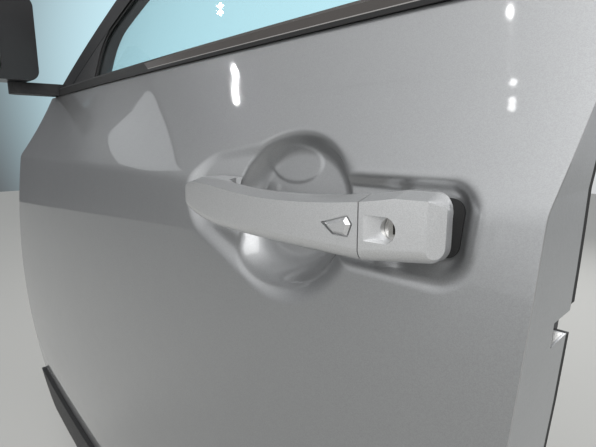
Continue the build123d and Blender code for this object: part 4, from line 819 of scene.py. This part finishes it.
bracket_plastic = grained(
    "bracket_plastic", BRACKET_COLOUR, roughness=0.6, grain_scale=2500.0, grain_depth=0.00005
)
dress(bracket_plastic, "handle_bracket")

# Handle: the grip and the unlock button are moulded in plastic and sprayed in silver, apart from
# the body. Their colour is painted lighter than the skin's, standing in for the brighter light the
# handle catches. The grip hooks into the bracket at its nose.
# Painted light: this silver is a lighter copy of the skin's paint, for the handle's brighter
# lighting.
HANDLE_LIT_COLOUR = (0.72, 0.725, 0.73, 1)

lit_handle_paint = sprayed_silver(
    "lit_handle_paint", HANDLE_LIT_COLOUR, glitter=0.16, roughness=0.38, coat=1.0, coat_roughness=0.04
)
roughen(lit_handle_paint, scale=260.0, depth=0.00003)
dress(lit_handle_paint, "grip", "unlock_button")

# Handle cap: moulded and sprayed as the grip is, in the grip's colour that is painted lighter for
# light, and screwed down over the key cylinder. It is drawn a little shorter than the CAD's, as the
# real one leaves a wide dark gap in its pocket.
CAP_SPLIT_X = 1.0050
CAP_SHORTER = 0.89


def draw_shorter(name, finish):
    """A copy of a CAD piece, drawn in towards the split between the grip and the cap."""
    shell = bpy.data.objects.new(name + "_shell", nodes[name].data.copy())
    for corner in shell.data.vertices:
        corner.co.x = CAP_SPLIT_X + CAP_SHORTER * (corner.co.x - CAP_SPLIT_X)
    shell.data.materials.clear()
    shell.data.materials.append(finish)
    bpy.context.scene.collection.objects.link(shell)
    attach(shell, "door")
    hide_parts(name)


draw_shorter("handle_cap", lit_handle_paint)

# Key cylinder: cast in zinc and plated with nickel, at the bottom of the hole in the cap. It
# moves with the cap's hole.
KEY_COLOUR = (0.62, 0.61, 0.59, 1)

key_metal = new_finish(
    "key_metal", KEY_COLOUR, darker=0.75, patch_scale=150.0, roughness=0.25, drift=0.15,
    metallic=1.0,
)
roughen(key_metal, scale=2500.0, depth=0.00003)
draw_shorter("key_cylinder", key_metal)

# Mirror: the housing is moulded in satin black plastic and folds on its foot. The pane is flat
# glass, silvered and clipped into the housing's rim.
MIRROR_COLOUR = (0.86, 0.88, 0.89, 1)

dress(satin_black("housing_plastic", roughness=0.3, coat=0.5), "mirror_housing")
mirror_silver = new_finish(
    "mirror_silver", MIRROR_COLOUR, darker=0.97, patch_scale=8.0, roughness=0.02, drift=0.02,
    metallic=1.0,
)
roughen(mirror_silver, scale=5.0, depth=0.0001, strength=0.2)
dress(mirror_silver, "mirror_glass")

# Inner trim: the panel, its upper part and the map pocket are moulded in charcoal plastic with a
# coarser grain than outside, and clipped to the inner panel.
TRIM_COLOUR = (0.062, 0.062, 0.065, 1)

trim_dark = grained(
    "trim_dark", TRIM_COLOUR, roughness=0.6, grain_scale=650.0, grain_depth=0.0002
)
dress(trim_dark, "trim_panel", "upper_trim", "map_pocket")

# Armrest: a foam block covered with a charcoal cloth in plain weave, glued on and screwed through
# the trim panel.
CLOTH_COLOUR = (0.15, 0.15, 0.155, 1)
# Painted shade: the gaps between the threads are coloured dark, where shade falls in the weave.
SHADE_BETWEEN_THREADS_COLOUR = (0.03, 0.03, 0.032, 1)
CLOTH_SHEEN = 0.25
THREADS_PER_METRE = 700.0
THREAD_DEPTH = 0.0003

cloth_weave, weave_in, weave_out = new_effect(
    "cloth_weave",
    [("Threads", "NodeSocketFloat", THREADS_PER_METRE)],
    [("Height", "NodeSocketFloat")],
)
weave_place = cloth_weave.nodes.new("ShaderNodeTexCoord")
weave_axes = cloth_weave.nodes.new("ShaderNodeSeparateXYZ")
cloth_weave.links.new(weave_place.outputs["Object"], weave_axes.inputs[0])
girth = add_maths(cloth_weave, "ADD", weave_axes.outputs["Y"], weave_axes.outputs["Z"])
waves = []
for way in (weave_axes.outputs["X"], girth):
    count = add_maths(cloth_weave, "MULTIPLY", way, weave_in.outputs["Threads"])
    waves.append(
        add_maths(cloth_weave, "SINE", add_maths(cloth_weave, "MULTIPLY", count, math.pi))
    )
half_crossing = add_maths(
    cloth_weave, "MULTIPLY", add_maths(cloth_weave, "MULTIPLY", *waves), 0.5
)
cloth_weave.links.new(
    add_maths(cloth_weave, "ADD", half_crossing, 0.5), weave_out.inputs["Height"]
)

woven_cloth = new_finish(
    "woven_cloth", CLOTH_COLOUR, darker=0.75, patch_scale=18.0, roughness=0.85, drift=0.1
)
cloth_tree, cloth_shader, cloth_tone = inside_of(woven_cloth)
cloth_shader.inputs["Sheen Weight"].default_value = CLOTH_SHEEN
threads = place_effect(cloth_tree, cloth_weave)
# Where the weave dips, the cloth's colour turns to the painted shade between the threads.
cloth_tree.links.new(
    add_mix(
        cloth_tree, threads.outputs["Height"], SHADE_BETWEEN_THREADS_COLOUR, cloth_tone.outputs["Colour"]
    ),
    cloth_shader.inputs["Base Color"],
)
add_bump(woven_cloth, threads.outputs["Height"], THREAD_DEPTH)
dress(woven_cloth, "armrest")

# Window switches: four rockers in a moulded satin black plate, which snaps into the armrest's top
# within the hand's reach.
dress(satin_black("switch_plastic", roughness=0.42, coat=0.2), "window_switch_panel")

# Inner handle: the bezel and the lever are moulded in plastic with a satin silver film. The bezel
# is clipped into the trim panel, and the lever turns on a pin in it.
SILVER_FILM_COLOUR = (0.50, 0.50, 0.51, 1)

silver_film = new_finish(
    "silver_film", SILVER_FILM_COLOUR, darker=0.92, patch_scale=15.0, roughness=0.34, drift=0.08,
    metallic=0.7,
)
roughen(silver_film, scale=1500.0, depth=0.00003)
dress(silver_film, "inner_handle_bezel", "inner_handle_lever")
